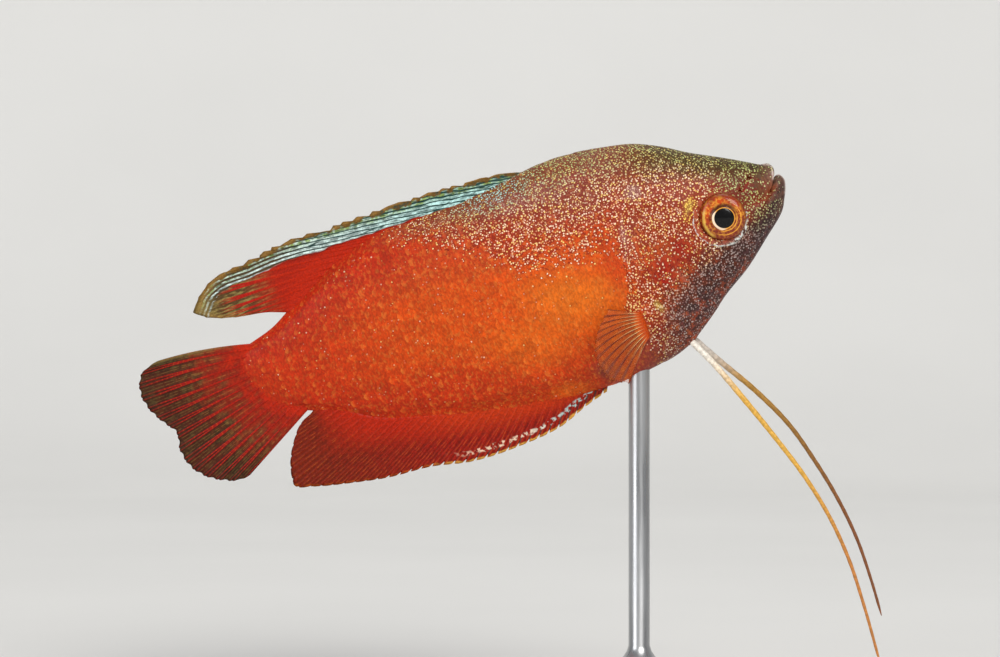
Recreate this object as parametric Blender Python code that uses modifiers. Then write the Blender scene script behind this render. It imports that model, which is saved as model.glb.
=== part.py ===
"""Life-size model of a male dwarf gourami, swimming with its head raised, on a plain display stand.

Body frame, in millimetres: x is 0 at the snout and runs forward, so the fish lies at negative x.
z runs up towards the back, and y is 0 in the fish's middle plane, positive on its left side.
The finished fish is pitched up by its parent and set over the stand, in metres.
"""

import math

import bmesh
import bpy
import numpy as np
from mathutils import Matrix, Vector

MM = 0.001
PITCH = math.radians(20)
GAP = 0.3

# Stations of the snout: distance along the skin from the throat, then the points of the ring there
# on the top line (x, z), at the side (x, y, z) and on the bottom line (x, z), then how far the ring
# bulges forward above and below the corner of the mouth.
SNOUT_STATIONS = (
    (0.0, (-2.9, 1.7), (-2.9, 0.35, 1.2), (-2.9, 0.8), 0.0, 0.0),
    (1.6, (-1.35, 2.5), (-2.05, 1.0, 0.45), (-0.85, 1.6), 0.2, 0.0),
    (2.2, (-0.9, 2.5), (-1.8, 1.3, 0.35), (-0.45, 1.85), 0.35, 0.1),
    (2.7, (-0.6, 2.9), (-1.75, 1.5, 0.25), (-0.05, 1.85), 0.35, 0.1),
    (3.3, (-0.85, 3.4), (-2.0, 1.62, 0.05), (0.32, 1.2), 0.3, 0.05),
    (4.1, (-1.65, 3.6), (-2.6, 1.68, -0.1), (0.2, 0.4), 0.2, 0.0),
    (5.4, (-2.7, 4.2), (-3.5, 2.05, -0.1), (-0.3, -0.7), 0.1, 0.0),
    (7.2, (-4.2, 5.1), (-4.6, 2.5, -0.15), (-1.35, -2.35), 0.0, 0.0),
    (8.8, (-6.0, 6.1), (-6.2, 3.0, -0.2), (-3.7, -4.25), 0.0, 0.0),
    (11.1, (-8.5, 7.45), (-8.5, 3.5, -0.3), (-6.7, -6.6), 0.0, 0.0),
    (13.6, (-11.0, 9.04), (-11.0, 3.95, -0.5), (-10.0, -8.6), 0.0, 0.0),
)
SKIN_TO_X = 2.6

# Stations of the body: x, height of the back, height of the belly, half-width, level of the widest
# place, and how sharply the section closes above and below (1 is an ellipse, more is keeled).
BODY_STATIONS = (
    (-14.0, 10.5, -11.4, 4.35, -0.8, 0.95, 0.9),
    (-17.0, 11.25, -12.9, 4.6, -1.0, 0.95, 0.88),
    (-20.0, 11.76, -13.4, 4.75, -1.2, 1.0, 0.9),
    (-24.0, 12.0, -13.7, 4.8, -1.3, 1.0, 0.95),
    (-28.0, 11.6, -13.6, 4.7, -1.0, 1.05, 1.1),
    (-34.0, 11.1, -13.1, 4.35, -0.6, 1.1, 1.25),
    (-40.0, 11.1, -12.0, 3.8, -0.2, 1.1, 1.3),
    (-45.0, 11.0, -10.7, 3.2, 0.1, 1.1, 1.3),
    (-50.0, 9.6, -9.1, 2.55, 0.2, 1.1, 1.25),
    (-55.0, 6.85, -6.2, 1.85, 0.1, 1.05, 1.1),
    (-58.0, 5.2, -4.75, 1.4, 0.1, 1.0, 1.0),
    (-61.5, 4.2, -4.3, 0.95, 0.0, 1.0, 1.0),
)
SECTION_FULL = 0.9

# Where the body is parted, as (z, x) from top to bottom: behind the gill covers, through the tail
# stalk, and where the scales end on the tail fin.
GILL_EDGE = ((12.5, -16.4), (7.0, -17.5), (2.2, -18.7), (-0.4, -19.3), (-3.0, -19.9),
             (-5.6, -20.6), (-7.4, -18.4), (-9.3, -16.6), (-11.3, -14.6), (-13.5, -12.6))
TAIL_CUT_X = -50.0
SCALE_EDGE = ((6.0, -60.6), (4.3, -60.7), (2.0, -60.5), (0.0, -59.8), (-2.5, -58.6),
              (-4.6, -57.2), (-6.0, -56.2))

CORNERS_AROUND = 36
LIP_STATIONS = 7
HEAD_RINGS = 12
TORSO_RINGS = 14
TAIL_RINGS = 5
SMOOTH_ANGLE = math.radians(50)

EYE_CENTRE = (-7.5, -0.4)
EYE_RADIUS = 2.95
EYE_DEPTH = 1.6
EYE_STANDS_PROUD = 0.75
EYE_TURN = math.radians(8)
EYE_CORNERS = (20, 11)
EYE_SOCKET_CORNERS = (24, 12)

NOSTRILS = ((-4.7, 1.8), (-3.3, 2.4))
NOSTRIL_RADIUS = 0.26
NOSTRIL_DEPTH = 0.5
NOSTRIL_FLARE = 1.3
NOSTRIL_CORNERS = 10

# Outline of a gill cover as (x, z), from its upper front corner back, down and forward.
GILL_COVER = ((-13.4, 2.0), (-15.6, 3.1), (-18.4, 2.3), (-19.0, -0.4), (-19.6, -3.0), (-20.3, -5.5),
              (-18.2, -7.2), (-16.4, -8.9), (-13.9, -8.5), (-12.9, -5.6), (-12.8, -1.6))
GILL_COVER_THICK = 0.9
GILL_COVER_SWELL = 0.3
GILL_COVER_CORNERS = 28
GILL_COVER_RINGS = (0.4, 0.75, 1.0)
GILL_POCKET_REACH = 1.5

# Each fin: its line of attachment, its margin, both as (x, z), the number of rays and the sizes.
DORSAL_FROM_X = -25.8
DORSAL_TO_X = -55.2
DORSAL_MARGIN = ((-26.6, 12.3), (-30.0, 12.6), (-34.0, 13.0), (-41.0, 13.3), (-48.5, 13.4),
                 (-54.5, 13.5), (-59.0, 12.85), (-62.0, 12.55), (-64.6, 11.1), (-65.8, 9.5),
                 (-64.9, 8.75), (-62.0, 7.6), (-58.4, 6.95))
DORSAL_RAYS = 24
DORSAL_SLANT = 0.75
DORSAL_NOTCH = 0.45
ANAL_FROM_X = -25.2
ANAL_TO_X = -56.4
ANAL_MARGIN = ((-26.0, -14.15), (-28.6, -14.85), (-31.9, -16.0), (-36.9, -16.5), (-42.6, -16.3),
               (-47.0, -15.3), (-51.9, -14.8), (-55.8, -14.0), (-60.0, -12.9), (-61.8, -12.2),
               (-61.7, -10.5), (-60.4, -7.7), (-58.6, -5.75), (-57.3, -5.25))
ANAL_RAYS = 31
ANAL_NOTCH = 0.4
CAUDAL_ROOT = (3.95, -4.35)
CAUDAL_MARGIN = ((-72.3, 6.0), (-73.8, 5.1), (-74.5, 3.3), (-74.2, 1.3), (-73.3, -0.5), (-72.2, -2.2),
                 (-72.5, -4.2), (-72.0, -6.3), (-70.7, -7.9), (-68.7, -9.1), (-66.9, -9.8))
CAUDAL_RAYS = 14
CAUDAL_NOTCH = 0.3
PECTORAL_ROOT = ((-20.0, -7.1), (-19.7, -8.5), (-19.9, -9.9))
PECTORAL_MARGIN = ((-23.0, -5.6), (-24.2, -6.7), (-25.3, -8.0), (-26.0, -9.8), (-26.0, -11.4),
                   (-25.2, -13.0), (-23.6, -14.0))
PECTORAL_RAYS = 10
PECTORAL_NOTCH = 0.25
PECTORAL_SPREAD = math.radians(30)
PECTORAL_LEAN = 0.35
PECTORAL_CURVE = 0.15

FIN_ROWS = 6
CAUDAL_ROWS = 8
FIN_OFF_BODY = GAP * 1.15
FIN_ROOT_SHARE = 0.25
FIN_ROOT_THICK = 1.0
FIN_MIDDLE_THICK = 0.62
FIN_EDGE_THICK = 0.34
RAY_RELIEF = 0.16
TAIL_SWAY = 1.5
TAIL_SWAY_FROM_X = -54.0
TAIL_SWAY_LENGTH = 20.0

# Centre line of the feeler on the camera's side (right) and of the other, as (x, y, z).
FEELER_RIGHT = ((-15.25, -1.25, -12.45), (-14.0, -1.55, -15.2), (-12.3, -1.9, -19.8), (-10.5, -2.1, -25.0),
                (-8.9, -2.2, -30.2), (-7.9, -2.2, -35.0), (-7.45, -2.1, -40.5), (-7.6, -1.9, -45.5),
                (-8.1, -1.6, -52.4))
FEELER_LEFT = ((-14.75, 1.25, -12.35), (-13.0, 1.9, -15.4), (-10.3, 2.6, -20.0), (-8.1, 3.2, -24.8),
               (-6.9, 3.6, -29.1), (-5.9, 3.8, -34.0), (-5.4, 3.7, -39.0), (-5.5, 3.4, -44.0),
               (-5.8, 3.0, -48.0))
FEELER_ROOT_THICK = 0.75
FEELER_MIDDLE_THICK = 0.56
FEELER_TIP_THICK = 0.36
FEELER_TAPERS_FROM = 0.35
FEELER_CUTS = (0.34, 0.68)
FEELER_POINTS = 11

BASE_LENGTH = 60.0
BASE_WIDTH = 34.0
BASE_THICK = 4.0
BASE_TOP_BELOW_SNOUT = 53.4
BASE_CORNERS = 40
BASE_BEVEL = 0.7
BASE_BEVEL_ANGLE = math.radians(60)
ROD_THICK = 2.6
ROD_FOOT = 8.0
ROD_FOOT_THICK = 1.2
ROD_MEETS_BODY = (-22.0, -13.55)
ROD_INTO_BODY = 1.5
ROD_CLEARS_X = (-16.0, -28.0)
ROD_SIDES = 24

ORANGE_RED = (0.60, 0.07, 0.015)
HEAD_RED = (0.36, 0.10, 0.07)
CRIMSON = (0.42, 0.03, 0.03)
FIN_RED = (0.45, 0.03, 0.012)
DORSAL_BLUE = (0.25, 0.42, 0.44)
PECTORAL_ORANGE = (0.72, 0.22, 0.10)
FEELER_YELLOW = (0.80, 0.55, 0.16)
EYE_ORANGE = (0.30, 0.06, 0.02)
STAND_GREY = (0.62, 0.62, 0.60)


class Smooth:
    """A smooth curve through rows of numbers, one row at each knot."""

    def __init__(self, knots, rows):
        self.knots = np.asarray(knots, float)
        self.rows = np.asarray(rows, float)
        self.steps = np.diff(self.knots)
        slopes = np.diff(self.rows, axis=0) / self.steps[:, None]
        before = self.steps[:-1, None]
        after = self.steps[1:, None]
        inner = (slopes[:-1] * after + slopes[1:] * before) / (before + after)
        self.tangents = np.vstack([slopes[:1], inner, slopes[-1:]])

    def at(self, knot):
        i = min(max(int(np.searchsorted(self.knots, knot)) - 1, 0), len(self.steps) - 1)
        step = self.steps[i]
        t = (knot - self.knots[i]) / step
        return (
            (1 + 2 * t) * (1 - t) ** 2 * self.rows[i]
            + t * (1 - t) ** 2 * step * self.tangents[i]
            + t * t * (3 - 2 * t) * self.rows[i + 1]
            + t * t * (t - 1) * step * self.tangents[i + 1]
        )


class Outline(Smooth):
    """A smooth curve through points, read by the share of its length."""

    def __init__(self, points):
        points = np.asarray(points, float)
        lengths = np.linalg.norm(np.diff(points, axis=0), axis=1)
        self.length = lengths.sum()
        super().__init__(np.concatenate([[0.0], np.cumsum(lengths)]), points)

    def share(self, share):
        return self.at(share * self.length)

    def left(self, share):
        """The direction square to the curve on its left, for a curve in a plane."""
        ahead = self.share(min(share + 0.005, 1.0)) - self.share(max(share - 0.005, 0.0))
        return np.array((-ahead[1], ahead[0])) / np.linalg.norm(ahead)


def skin_rows():
    """The stations as rows of top x z, side x y z, bottom x z, the two bulges and exponents."""
    knots = []
    rows = []
    for run, top, side, bottom, bulge_up, bulge_low in SNOUT_STATIONS:
        knots.append(run)
        rows.append((*top, *side, *bottom, bulge_up, bulge_low, SECTION_FULL, SECTION_FULL))
    for x, back, belly, half, level, sharp_up, sharp_low in BODY_STATIONS:
        knots.append(SKIN_TO_X - x)
        rows.append((x, back, x, half, level, x, belly, 0.0, 0.0, sharp_up, sharp_low))
    return Smooth(knots, rows)


SKIN = skin_rows()


def skin_point(run, turn, grow=0.0):
    """A point of the skin: run is the distance from the throat, turn goes from 0 on the back over
    the left side to pi on the belly and on over the right side."""
    row = SKIN.at(run)
    top = np.array((row[0], row[1]))
    side = np.array((row[2], row[4]))
    bottom = np.array((row[5], row[6]))
    c = math.cos(turn)
    s = math.sin(turn)
    above = c >= 0
    end = top if above else bottom
    bulge = row[7] if above else row[8]
    sharp = row[9] if above else row[10]
    x, z = side + (end - side) * abs(c)
    x += bulge * abs(math.sin(2 * turn))
    y = math.copysign(abs(s) ** sharp, s) * row[3]
    return np.array((x, y + grow * s, z + grow * c))


def skin_at(x, z):
    """(run, turn) of the left side's skin over a place of the side view."""
    run = SKIN_TO_X - x
    turn = math.pi / 2
    step = 0.02
    for _ in range(12):
        here = skin_point(run, turn)
        rise = (skin_point(run, turn + step)[2] - here[2]) / step
        turn += (z - here[2]) / min(rise, -0.5)
        turn = min(max(turn, 0.02), math.pi - 0.02)
        run += here[0] - x
    return run, turn


def skin_y(x, z):
    """Half-width of the fish at a place of the side view."""
    return skin_point(*skin_at(x, z))[1]


def edge_x(edge, z):
    """x of a parting line at a height."""
    return edge.at(min(max(-z, edge.knots[0]), edge.knots[-1]))[0]


def parting(line):
    """A parting line, read by its height from the top down."""
    return Smooth([-z for z, _ in line], [[x] for _, x in line])


GILL_PARTING = parting(GILL_EDGE)
SCALE_PARTING = parting(SCALE_EDGE)


def ring_at_edge(edge, shift, around):
    """The ring of skin points along a parting line moved by shift, from the back all the way round."""
    ring = []
    for k in range(around):
        turn = 2 * math.pi * k / around
        run = SKIN_TO_X - edge_x(edge, 0.0)
        for _ in range(30):
            point = skin_point(run, turn)
            run += 0.6 * (point[0] - edge_x(edge, point[2]) - shift)
        ring.append((run, turn))
    return ring


def rings_between(first, last, shares):
    """Rings of (run, turn) between two such rings."""
    return [
        [(a[0] + (b[0] - a[0]) * share, a[1]) for a, b in zip(first, last)]
        for share in shares
    ]


def flat_ring(run, around):
    return [(run, 2 * math.pi * k / around) for k in range(around)]


def new_object(name, mesh, colour, roughness=0.35, metallic=0.0, parent=None):
    """An object of the model with its own material."""
    obj = bpy.data.objects.new(name, mesh)
    MODEL.objects.link(obj)
    obj.parent = parent
    material = bpy.data.materials.new(name)
    material.use_nodes = True
    shader = material.node_tree.nodes["Principled BSDF"]
    shader.inputs["Base Color"].default_value = (*colour, 1.0)
    shader.inputs["Roughness"].default_value = roughness
    shader.inputs["Metallic"].default_value = metallic
    mesh.materials.append(material)
    material.diffuse_color = (*colour, 1.0)
    return obj


def new_cutter(name, mesh, parent=None):
    """A helper that is left out of the model."""
    obj = bpy.data.objects.new(name, mesh)
    CUTTERS.objects.link(obj)
    obj.parent = parent
    obj.hide_render = True
    obj.display_type = "WIRE"
    return obj


def mesh_from(bm, name):
    """The bmesh, drawn in millimetres, as a mesh in metres with its faces pointing out."""
    bmesh.ops.recalc_face_normals(bm, faces=bm.faces)
    bmesh.ops.transform(bm, matrix=Matrix.Scale(MM, 4), verts=bm.verts)
    mesh = bpy.data.meshes.new(name)
    bm.to_mesh(mesh)
    bm.free()
    mesh.shade_smooth()
    mesh.set_sharp_from_angle(angle=SMOOTH_ANGLE)
    return mesh


def loft(rings, first_cap, last_cap):
    """A closed bmesh through rings of points. A cap is ruled straight across the body, or a fan."""
    bm = bmesh.new()
    loops = [[bm.verts.new(point) for point in ring] for ring in rings]
    around = len(loops[0])
    for loop, following in zip(loops, loops[1:]):
        for k in range(around):
            n = (k + 1) % around
            bm.faces.new((loop[k], loop[n], following[n], following[k]))
    for loop, cap in ((loops[0], first_cap), (loops[-1], last_cap)):
        if cap == "fan":
            bm.faces.new(loop)
            continue
        for k in range(around // 2):
            corners = (loop[k], loop[k + 1], loop[(around - k - 1) % around], loop[(around - k) % around])
            bm.faces.new(dict.fromkeys(corners))
    fans = [face for face in bm.faces if len(face.verts) > 4]
    bmesh.ops.triangulate(bm, faces=fans)
    return bm


def points_of(rings, grow=0.0):
    return [[skin_point(run, turn, grow) for run, turn in ring] for ring in rings]


def ball(centre, radii, turn, corners):
    """A flattened ball with its pole towards the side of the head."""
    segments, rings = corners
    bm = bmesh.new()
    bmesh.ops.create_uvsphere(bm, u_segments=segments, v_segments=rings, radius=1.0)
    place = (
        Matrix.Translation(centre)
        @ Matrix.Rotation(turn, 4, "Z")
        @ Matrix.Diagonal((radii[0], radii[1], radii[0], 1.0))
        @ Matrix.Rotation(math.pi / 2, 4, "X")
    )
    bmesh.ops.transform(bm, matrix=place, verts=bm.verts)
    return bm


def eye_centre(side):
    x, z = EYE_CENTRE
    return Vector((x, side * (skin_y(x, z) + EYE_STANDS_PROUD - EYE_DEPTH), z))


def cut(obj, cutter):
    """A Boolean difference, left on the object."""
    modifier = obj.modifiers.new("cut_" + cutter.name, "BOOLEAN")
    modifier.operation = "DIFFERENCE"
    modifier.solver = "EXACT"
    modifier.object = cutter


GILL_OUTLINE = Outline((*GILL_COVER, GILL_COVER[0]))


def gill_cover_outline(share, spread):
    """A point of the gill cover's outline, moved out by spread, as (x, z)."""
    return GILL_OUTLINE.share(share) - GILL_OUTLINE.left(share) * spread


def gill_plate(side, spread, inner, outer):
    """A plate that follows the skin inside the gill cover's outline. inner and outer are its two
    faces' heights over the skin, the outer one as a function of the share of the way to the rim."""
    angles = GILL_COVER_CORNERS
    middle = np.mean([gill_cover_outline(k / angles, 0.0) for k in range(angles)], axis=0)
    bm = bmesh.new()

    def vert(place, height):
        x, z = place
        return bm.verts.new((x, side * (skin_y(x, z) + height), z))

    sheets = []
    for height_at in (lambda share: inner, outer):
        rings = [[vert(middle, height_at(0.0))]]
        for share in GILL_COVER_RINGS:
            rings.append([
                vert(middle + (gill_cover_outline(k / angles, spread) - middle) * share, height_at(share))
                for k in range(angles)
            ])
        sheets.append(rings)
    for rings in sheets:
        for k in range(angles):
            n = (k + 1) % angles
            bm.faces.new((rings[0][0], rings[1][k], rings[1][n]))
            for ring, wider in zip(rings[1:], rings[2:]):
                bm.faces.new((ring[k], wider[k], wider[n]))
                bm.faces.new((ring[k], wider[n], ring[n]))
    for k in range(angles):
        n = (k + 1) % angles
        bm.faces.new((sheets[0][-1][k], sheets[1][-1][k], sheets[1][-1][n], sheets[0][-1][n]))
    return bm


def nostril(side, x, z):
    """A short blind hole, square to the snout's side."""
    run, turn = skin_at(x, z)
    here = skin_point(run, turn)
    along_run = skin_point(run + 0.1, turn) - here
    along_turn = skin_point(run, turn + 0.05) - here
    outward = Vector(np.cross(along_turn, along_run)).normalized()
    if outward.y < 0:
        outward.negate()
    bm = bmesh.new()
    bmesh.ops.create_cone(
        bm, cap_ends=True, segments=NOSTRIL_CORNERS, radius1=NOSTRIL_RADIUS,
        radius2=NOSTRIL_RADIUS * NOSTRIL_FLARE, depth=2 * NOSTRIL_DEPTH,
    )
    flip = Matrix.Diagonal((1.0, side, 1.0, 1.0))
    place = Matrix.Translation(here) @ outward.to_track_quat("Z", "Y").to_matrix().to_4x4()
    bmesh.ops.transform(bm, matrix=flip @ place, verts=bm.verts)
    return bm


def make_head(parent):
    around = CORNERS_AROUND
    rear = ring_at_edge(GILL_PARTING, GAP, around)
    lips = [flat_ring(run, around) for run, *_ in SNOUT_STATIONS[:LIP_STATIONS]]
    rings = lips + rings_between(lips[-1], rear, [k / HEAD_RINGS for k in range(1, HEAD_RINGS + 1)])
    bm = loft(points_of(rings), "fan", "ruled")
    head = new_object("head", mesh_from(bm, "head"), HEAD_RED, parent=parent)
    for side, word in ((1, "left"), (-1, "right")):
        socket_radii = (EYE_RADIUS + GAP, EYE_DEPTH + GAP)
        socket = ball(eye_centre(side), socket_radii, side * EYE_TURN, EYE_SOCKET_CORNERS)
        cut(head, new_cutter("eye_socket_" + word, mesh_from(socket, "eye_socket_" + word), parent))
        pocket = gill_plate(side, GAP, -GILL_COVER_THICK - GAP, lambda share: GILL_POCKET_REACH)
        cut(head, new_cutter("gill_pocket_" + word, mesh_from(pocket, "gill_pocket_" + word), parent))
        for k, (x, z) in enumerate(NOSTRILS):
            name = f"nostril_{word}_{k + 1}"
            cut(head, new_cutter(name, mesh_from(nostril(side, x, z), name), parent))


def make_gill_covers(parent):
    for side, word in ((1, "left"), (-1, "right")):
        name = "gill_cover_" + word
        bm = gill_plate(side, 0.0, -GILL_COVER_THICK, lambda share: GILL_COVER_SWELL * (1 - share**3))
        new_object(name, mesh_from(bm, name), CRIMSON, parent=parent)


def make_eyes(parent):
    for side, word in ((1, "left"), (-1, "right")):
        name = "eye_" + word
        bm = ball(eye_centre(side), (EYE_RADIUS, EYE_DEPTH), side * EYE_TURN, EYE_CORNERS)
        new_object(name, mesh_from(bm, name), EYE_ORANGE, roughness=0.1, parent=parent)


def make_torso(parent):
    around = CORNERS_AROUND
    front = ring_at_edge(GILL_PARTING, 0.0, around)
    rear = flat_ring(SKIN_TO_X - TAIL_CUT_X - GAP / 2, around)
    rings = rings_between(front, rear, [k / TORSO_RINGS for k in range(TORSO_RINGS + 1)])
    bm = loft(points_of(rings), "ruled", "ruled")
    new_object("torso", mesh_from(bm, "torso"), ORANGE_RED, parent=parent)


def make_tail(parent):
    around = CORNERS_AROUND
    front = flat_ring(SKIN_TO_X - TAIL_CUT_X + GAP / 2, around)
    rear = ring_at_edge(SCALE_PARTING, GAP / 2, around)
    rings = rings_between(front, rear, [k / TAIL_RINGS for k in range(TAIL_RINGS + 1)])
    bm = loft(points_of(rings), "ruled", "ruled")
    new_object("tail", mesh_from(bm, "tail"), ORANGE_RED, parent=parent)


def fin_sheet(name, columns, rows, place, crest, parent, colour):
    """A fin as one sheet thickened to both sides. place(s, t) is a point of its middle surface, s
    from the first ray to the last and t from root to margin, and crest(column, t) is 1 on a ray and
    0 between rays. The sheet is triangulated before it is thickened, so both faces match."""
    bm = bmesh.new()
    bmesh.ops.create_grid(bm, x_segments=columns - 1, y_segments=rows, size=1.0)
    layer = bm.verts.layers.deform.verify()
    weights = {}
    for v in bm.verts:
        column = round((v.co.x + 1) / 2 * (columns - 1))
        t = (v.co.y + 1) / 2
        on_ray = crest(column, t)
        inner = min(t / FIN_ROOT_SHARE, 1.0)
        outer = max(t - FIN_ROOT_SHARE, 0.0) / (1 - FIN_ROOT_SHARE)
        thick = FIN_ROOT_THICK + (FIN_MIDDLE_THICK - FIN_ROOT_THICK) * inner
        thick += (FIN_EDGE_THICK - FIN_MIDDLE_THICK) * outer
        weights[v.index] = (thick + RAY_RELIEF * on_ray) / (FIN_ROOT_THICK + RAY_RELIEF)
        v.co = place(column / (columns - 1), t, on_ray)
    for v in bm.verts:
        v[layer][0] = weights[v.index]
    bmesh.ops.triangulate(bm, faces=bm.faces)
    mesh = mesh_from(bm, name)
    obj = new_object(name, mesh, colour, parent=parent)
    obj.vertex_groups.new(name="thickness")
    solid = obj.modifiers.new("thickness", "SOLIDIFY")
    solid.thickness = (FIN_ROOT_THICK + RAY_RELIEF) * MM
    solid.offset = 0.0
    solid.vertex_group = "thickness"
    return obj


def plain_crest(column, t):
    """A ray on every second column, the first included."""
    return float(column % 2 == 0)


def branched_crest(column, t):
    """A ray on three columns of four, which forks into two branches half way out."""
    part = column % 4
    if part == 0:
        return 0.0
    return max(0.0, 1.0 - 2.0 * t) if part == 2 else 1.0


def notched(t, on_ray, depth, length):
    """t with the margin drawn in between rays by a depth in millimetres."""
    return t * (1 - (1 - on_ray) * depth / max(length, 1.0))


def sway(x):
    """Sideways bend of the tail fin and of the fin lobes beside it."""
    reach = max(TAIL_SWAY_FROM_X - x, 0.0) / TAIL_SWAY_LENGTH
    return TAIL_SWAY * reach**2


def back_height(x):
    return skin_point(SKIN_TO_X - x, 0.0)[2]


def belly_height(x):
    return skin_point(SKIN_TO_X - x, math.pi)[2]


def flat_fin(root_at, margin_at, notch):
    """A place function for a fin in the middle plane."""

    def place(s, t, on_ray):
        root = root_at(s)
        margin = margin_at(s)
        t = notched(t, on_ray, notch, np.linalg.norm(margin - root))
        x, z = root + (margin - root) * t
        return (x, sway(x), z)

    return place


def off_body(height_at, first, last, up):
    """The root line of a fin, one gap off the back or the belly, by its share of the way."""
    line = Outline([(x, height_at(x)) for x in np.linspace(first, last, 13)])
    sign = 1 if line.left(0.5)[1] * up > 0 else -1

    def root_at(s):
        return line.share(s) + line.left(s) * sign * FIN_OFF_BODY

    return root_at


def make_dorsal_fin(parent):
    root_at = off_body(back_height, DORSAL_FROM_X, DORSAL_TO_X, 1)
    margin = Outline(DORSAL_MARGIN)
    place = flat_fin(root_at, lambda s: margin.share(s**DORSAL_SLANT), DORSAL_NOTCH)
    fin_sheet("dorsal_fin", 2 * DORSAL_RAYS - 1, FIN_ROWS, place, plain_crest, parent, DORSAL_BLUE)


def make_anal_fin(parent):
    root_at = off_body(belly_height, ANAL_FROM_X, ANAL_TO_X, -1)
    place = flat_fin(root_at, Outline(ANAL_MARGIN).share, ANAL_NOTCH)
    fin_sheet("anal_fin", 2 * ANAL_RAYS - 1, FIN_ROWS, place, plain_crest, parent, FIN_RED)


def make_caudal_fin(parent):
    top, bottom = CAUDAL_ROOT

    def root_at(s):
        z = top + (bottom - top) * s
        return np.array((edge_x(SCALE_PARTING, z) - GAP / 2, z))

    place = flat_fin(root_at, Outline(CAUDAL_MARGIN).share, CAUDAL_NOTCH)
    fin_sheet("caudal_fin", 4 * CAUDAL_RAYS + 1, CAUDAL_ROWS, place, branched_crest, parent, FIN_RED)


def make_pectoral_fins(parent):
    root_line = Outline(PECTORAL_ROOT)
    margin_line = Outline(PECTORAL_MARGIN)
    for side, word in ((1, "left"), (-1, "right")):

        def place(s, t, on_ray, side=side):
            root = root_line.share(s)
            margin = margin_line.share(s)
            t = notched(t, on_ray, PECTORAL_NOTCH, np.linalg.norm(margin - root))
            x, z = root + (margin - root) * t
            start = skin_y(*root) + GAP + FIN_ROOT_THICK / 2 + 0.05
            reach = root[0] - x + PECTORAL_LEAN * (root[1] - z)
            spread = reach * math.tan(PECTORAL_SPREAD) * (1 - PECTORAL_CURVE * t)
            return (x, side * (start + spread), z)

        fin_sheet("pectoral_fin_" + word, 2 * PECTORAL_RAYS - 1, FIN_ROWS, place, plain_crest, parent,
                  PECTORAL_ORANGE)


def feeler_thick(share):
    if share < FEELER_TAPERS_FROM:
        gone = share / FEELER_TAPERS_FROM
        return FEELER_ROOT_THICK + (FEELER_MIDDLE_THICK - FEELER_ROOT_THICK) * gone
    gone = (share - FEELER_TAPERS_FROM) / (1 - FEELER_TAPERS_FROM)
    return FEELER_MIDDLE_THICK + (FEELER_TIP_THICK - FEELER_MIDDLE_THICK) * gone


def make_feeler(word, points, parent):
    """One feeler in three lengths, each a tapered tube made a mesh."""
    line = Outline(points)
    half_gap = GAP / 2 / line.length
    ends = (-half_gap, *FEELER_CUTS, 1 + half_gap)
    for part, start, end in zip(("root", "middle", "tip"), ends, ends[1:]):
        name = f"feeler_{word}_{part}"
        data = bpy.data.curves.new(name, "CURVE")
        data.dimensions = "3D"
        data.bevel_depth = MM / 2
        data.bevel_resolution = 1
        data.use_fill_caps = True
        spline = data.splines.new("POLY")
        spline.points.add(FEELER_POINTS - 1)
        for k, point in enumerate(spline.points):
            gone = k / (FEELER_POINTS - 1)
            share = start + half_gap + (end - start - 2 * half_gap) * gone
            point.co = (*(line.share(share) * MM), 1.0)
            point.radius = feeler_thick(share)
        curve = bpy.data.objects.new(name + "_curve", data)
        MODEL.objects.link(curve)
        bpy.context.view_layer.update()
        graph = bpy.context.evaluated_depsgraph_get()
        mesh = bpy.data.meshes.new_from_object(curve.evaluated_get(graph))
        bpy.data.objects.remove(curve)
        bm = bmesh.new()
        bm.from_mesh(mesh)
        bpy.data.meshes.remove(mesh)
        bmesh.ops.remove_doubles(bm, verts=bm.verts, dist=1e-6)
        bmesh.ops.transform(bm, matrix=Matrix.Scale(1 / MM, 4), verts=bm.verts)
        new_object(name, mesh_from(bm, name), FEELER_YELLOW, parent=parent)


def in_model(x, z):
    """A place of the body frame after the pitch, from the snout."""
    return (
        x * math.cos(PITCH) - z * math.sin(PITCH),
        x * math.sin(PITCH) + z * math.cos(PITCH),
    )


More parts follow.
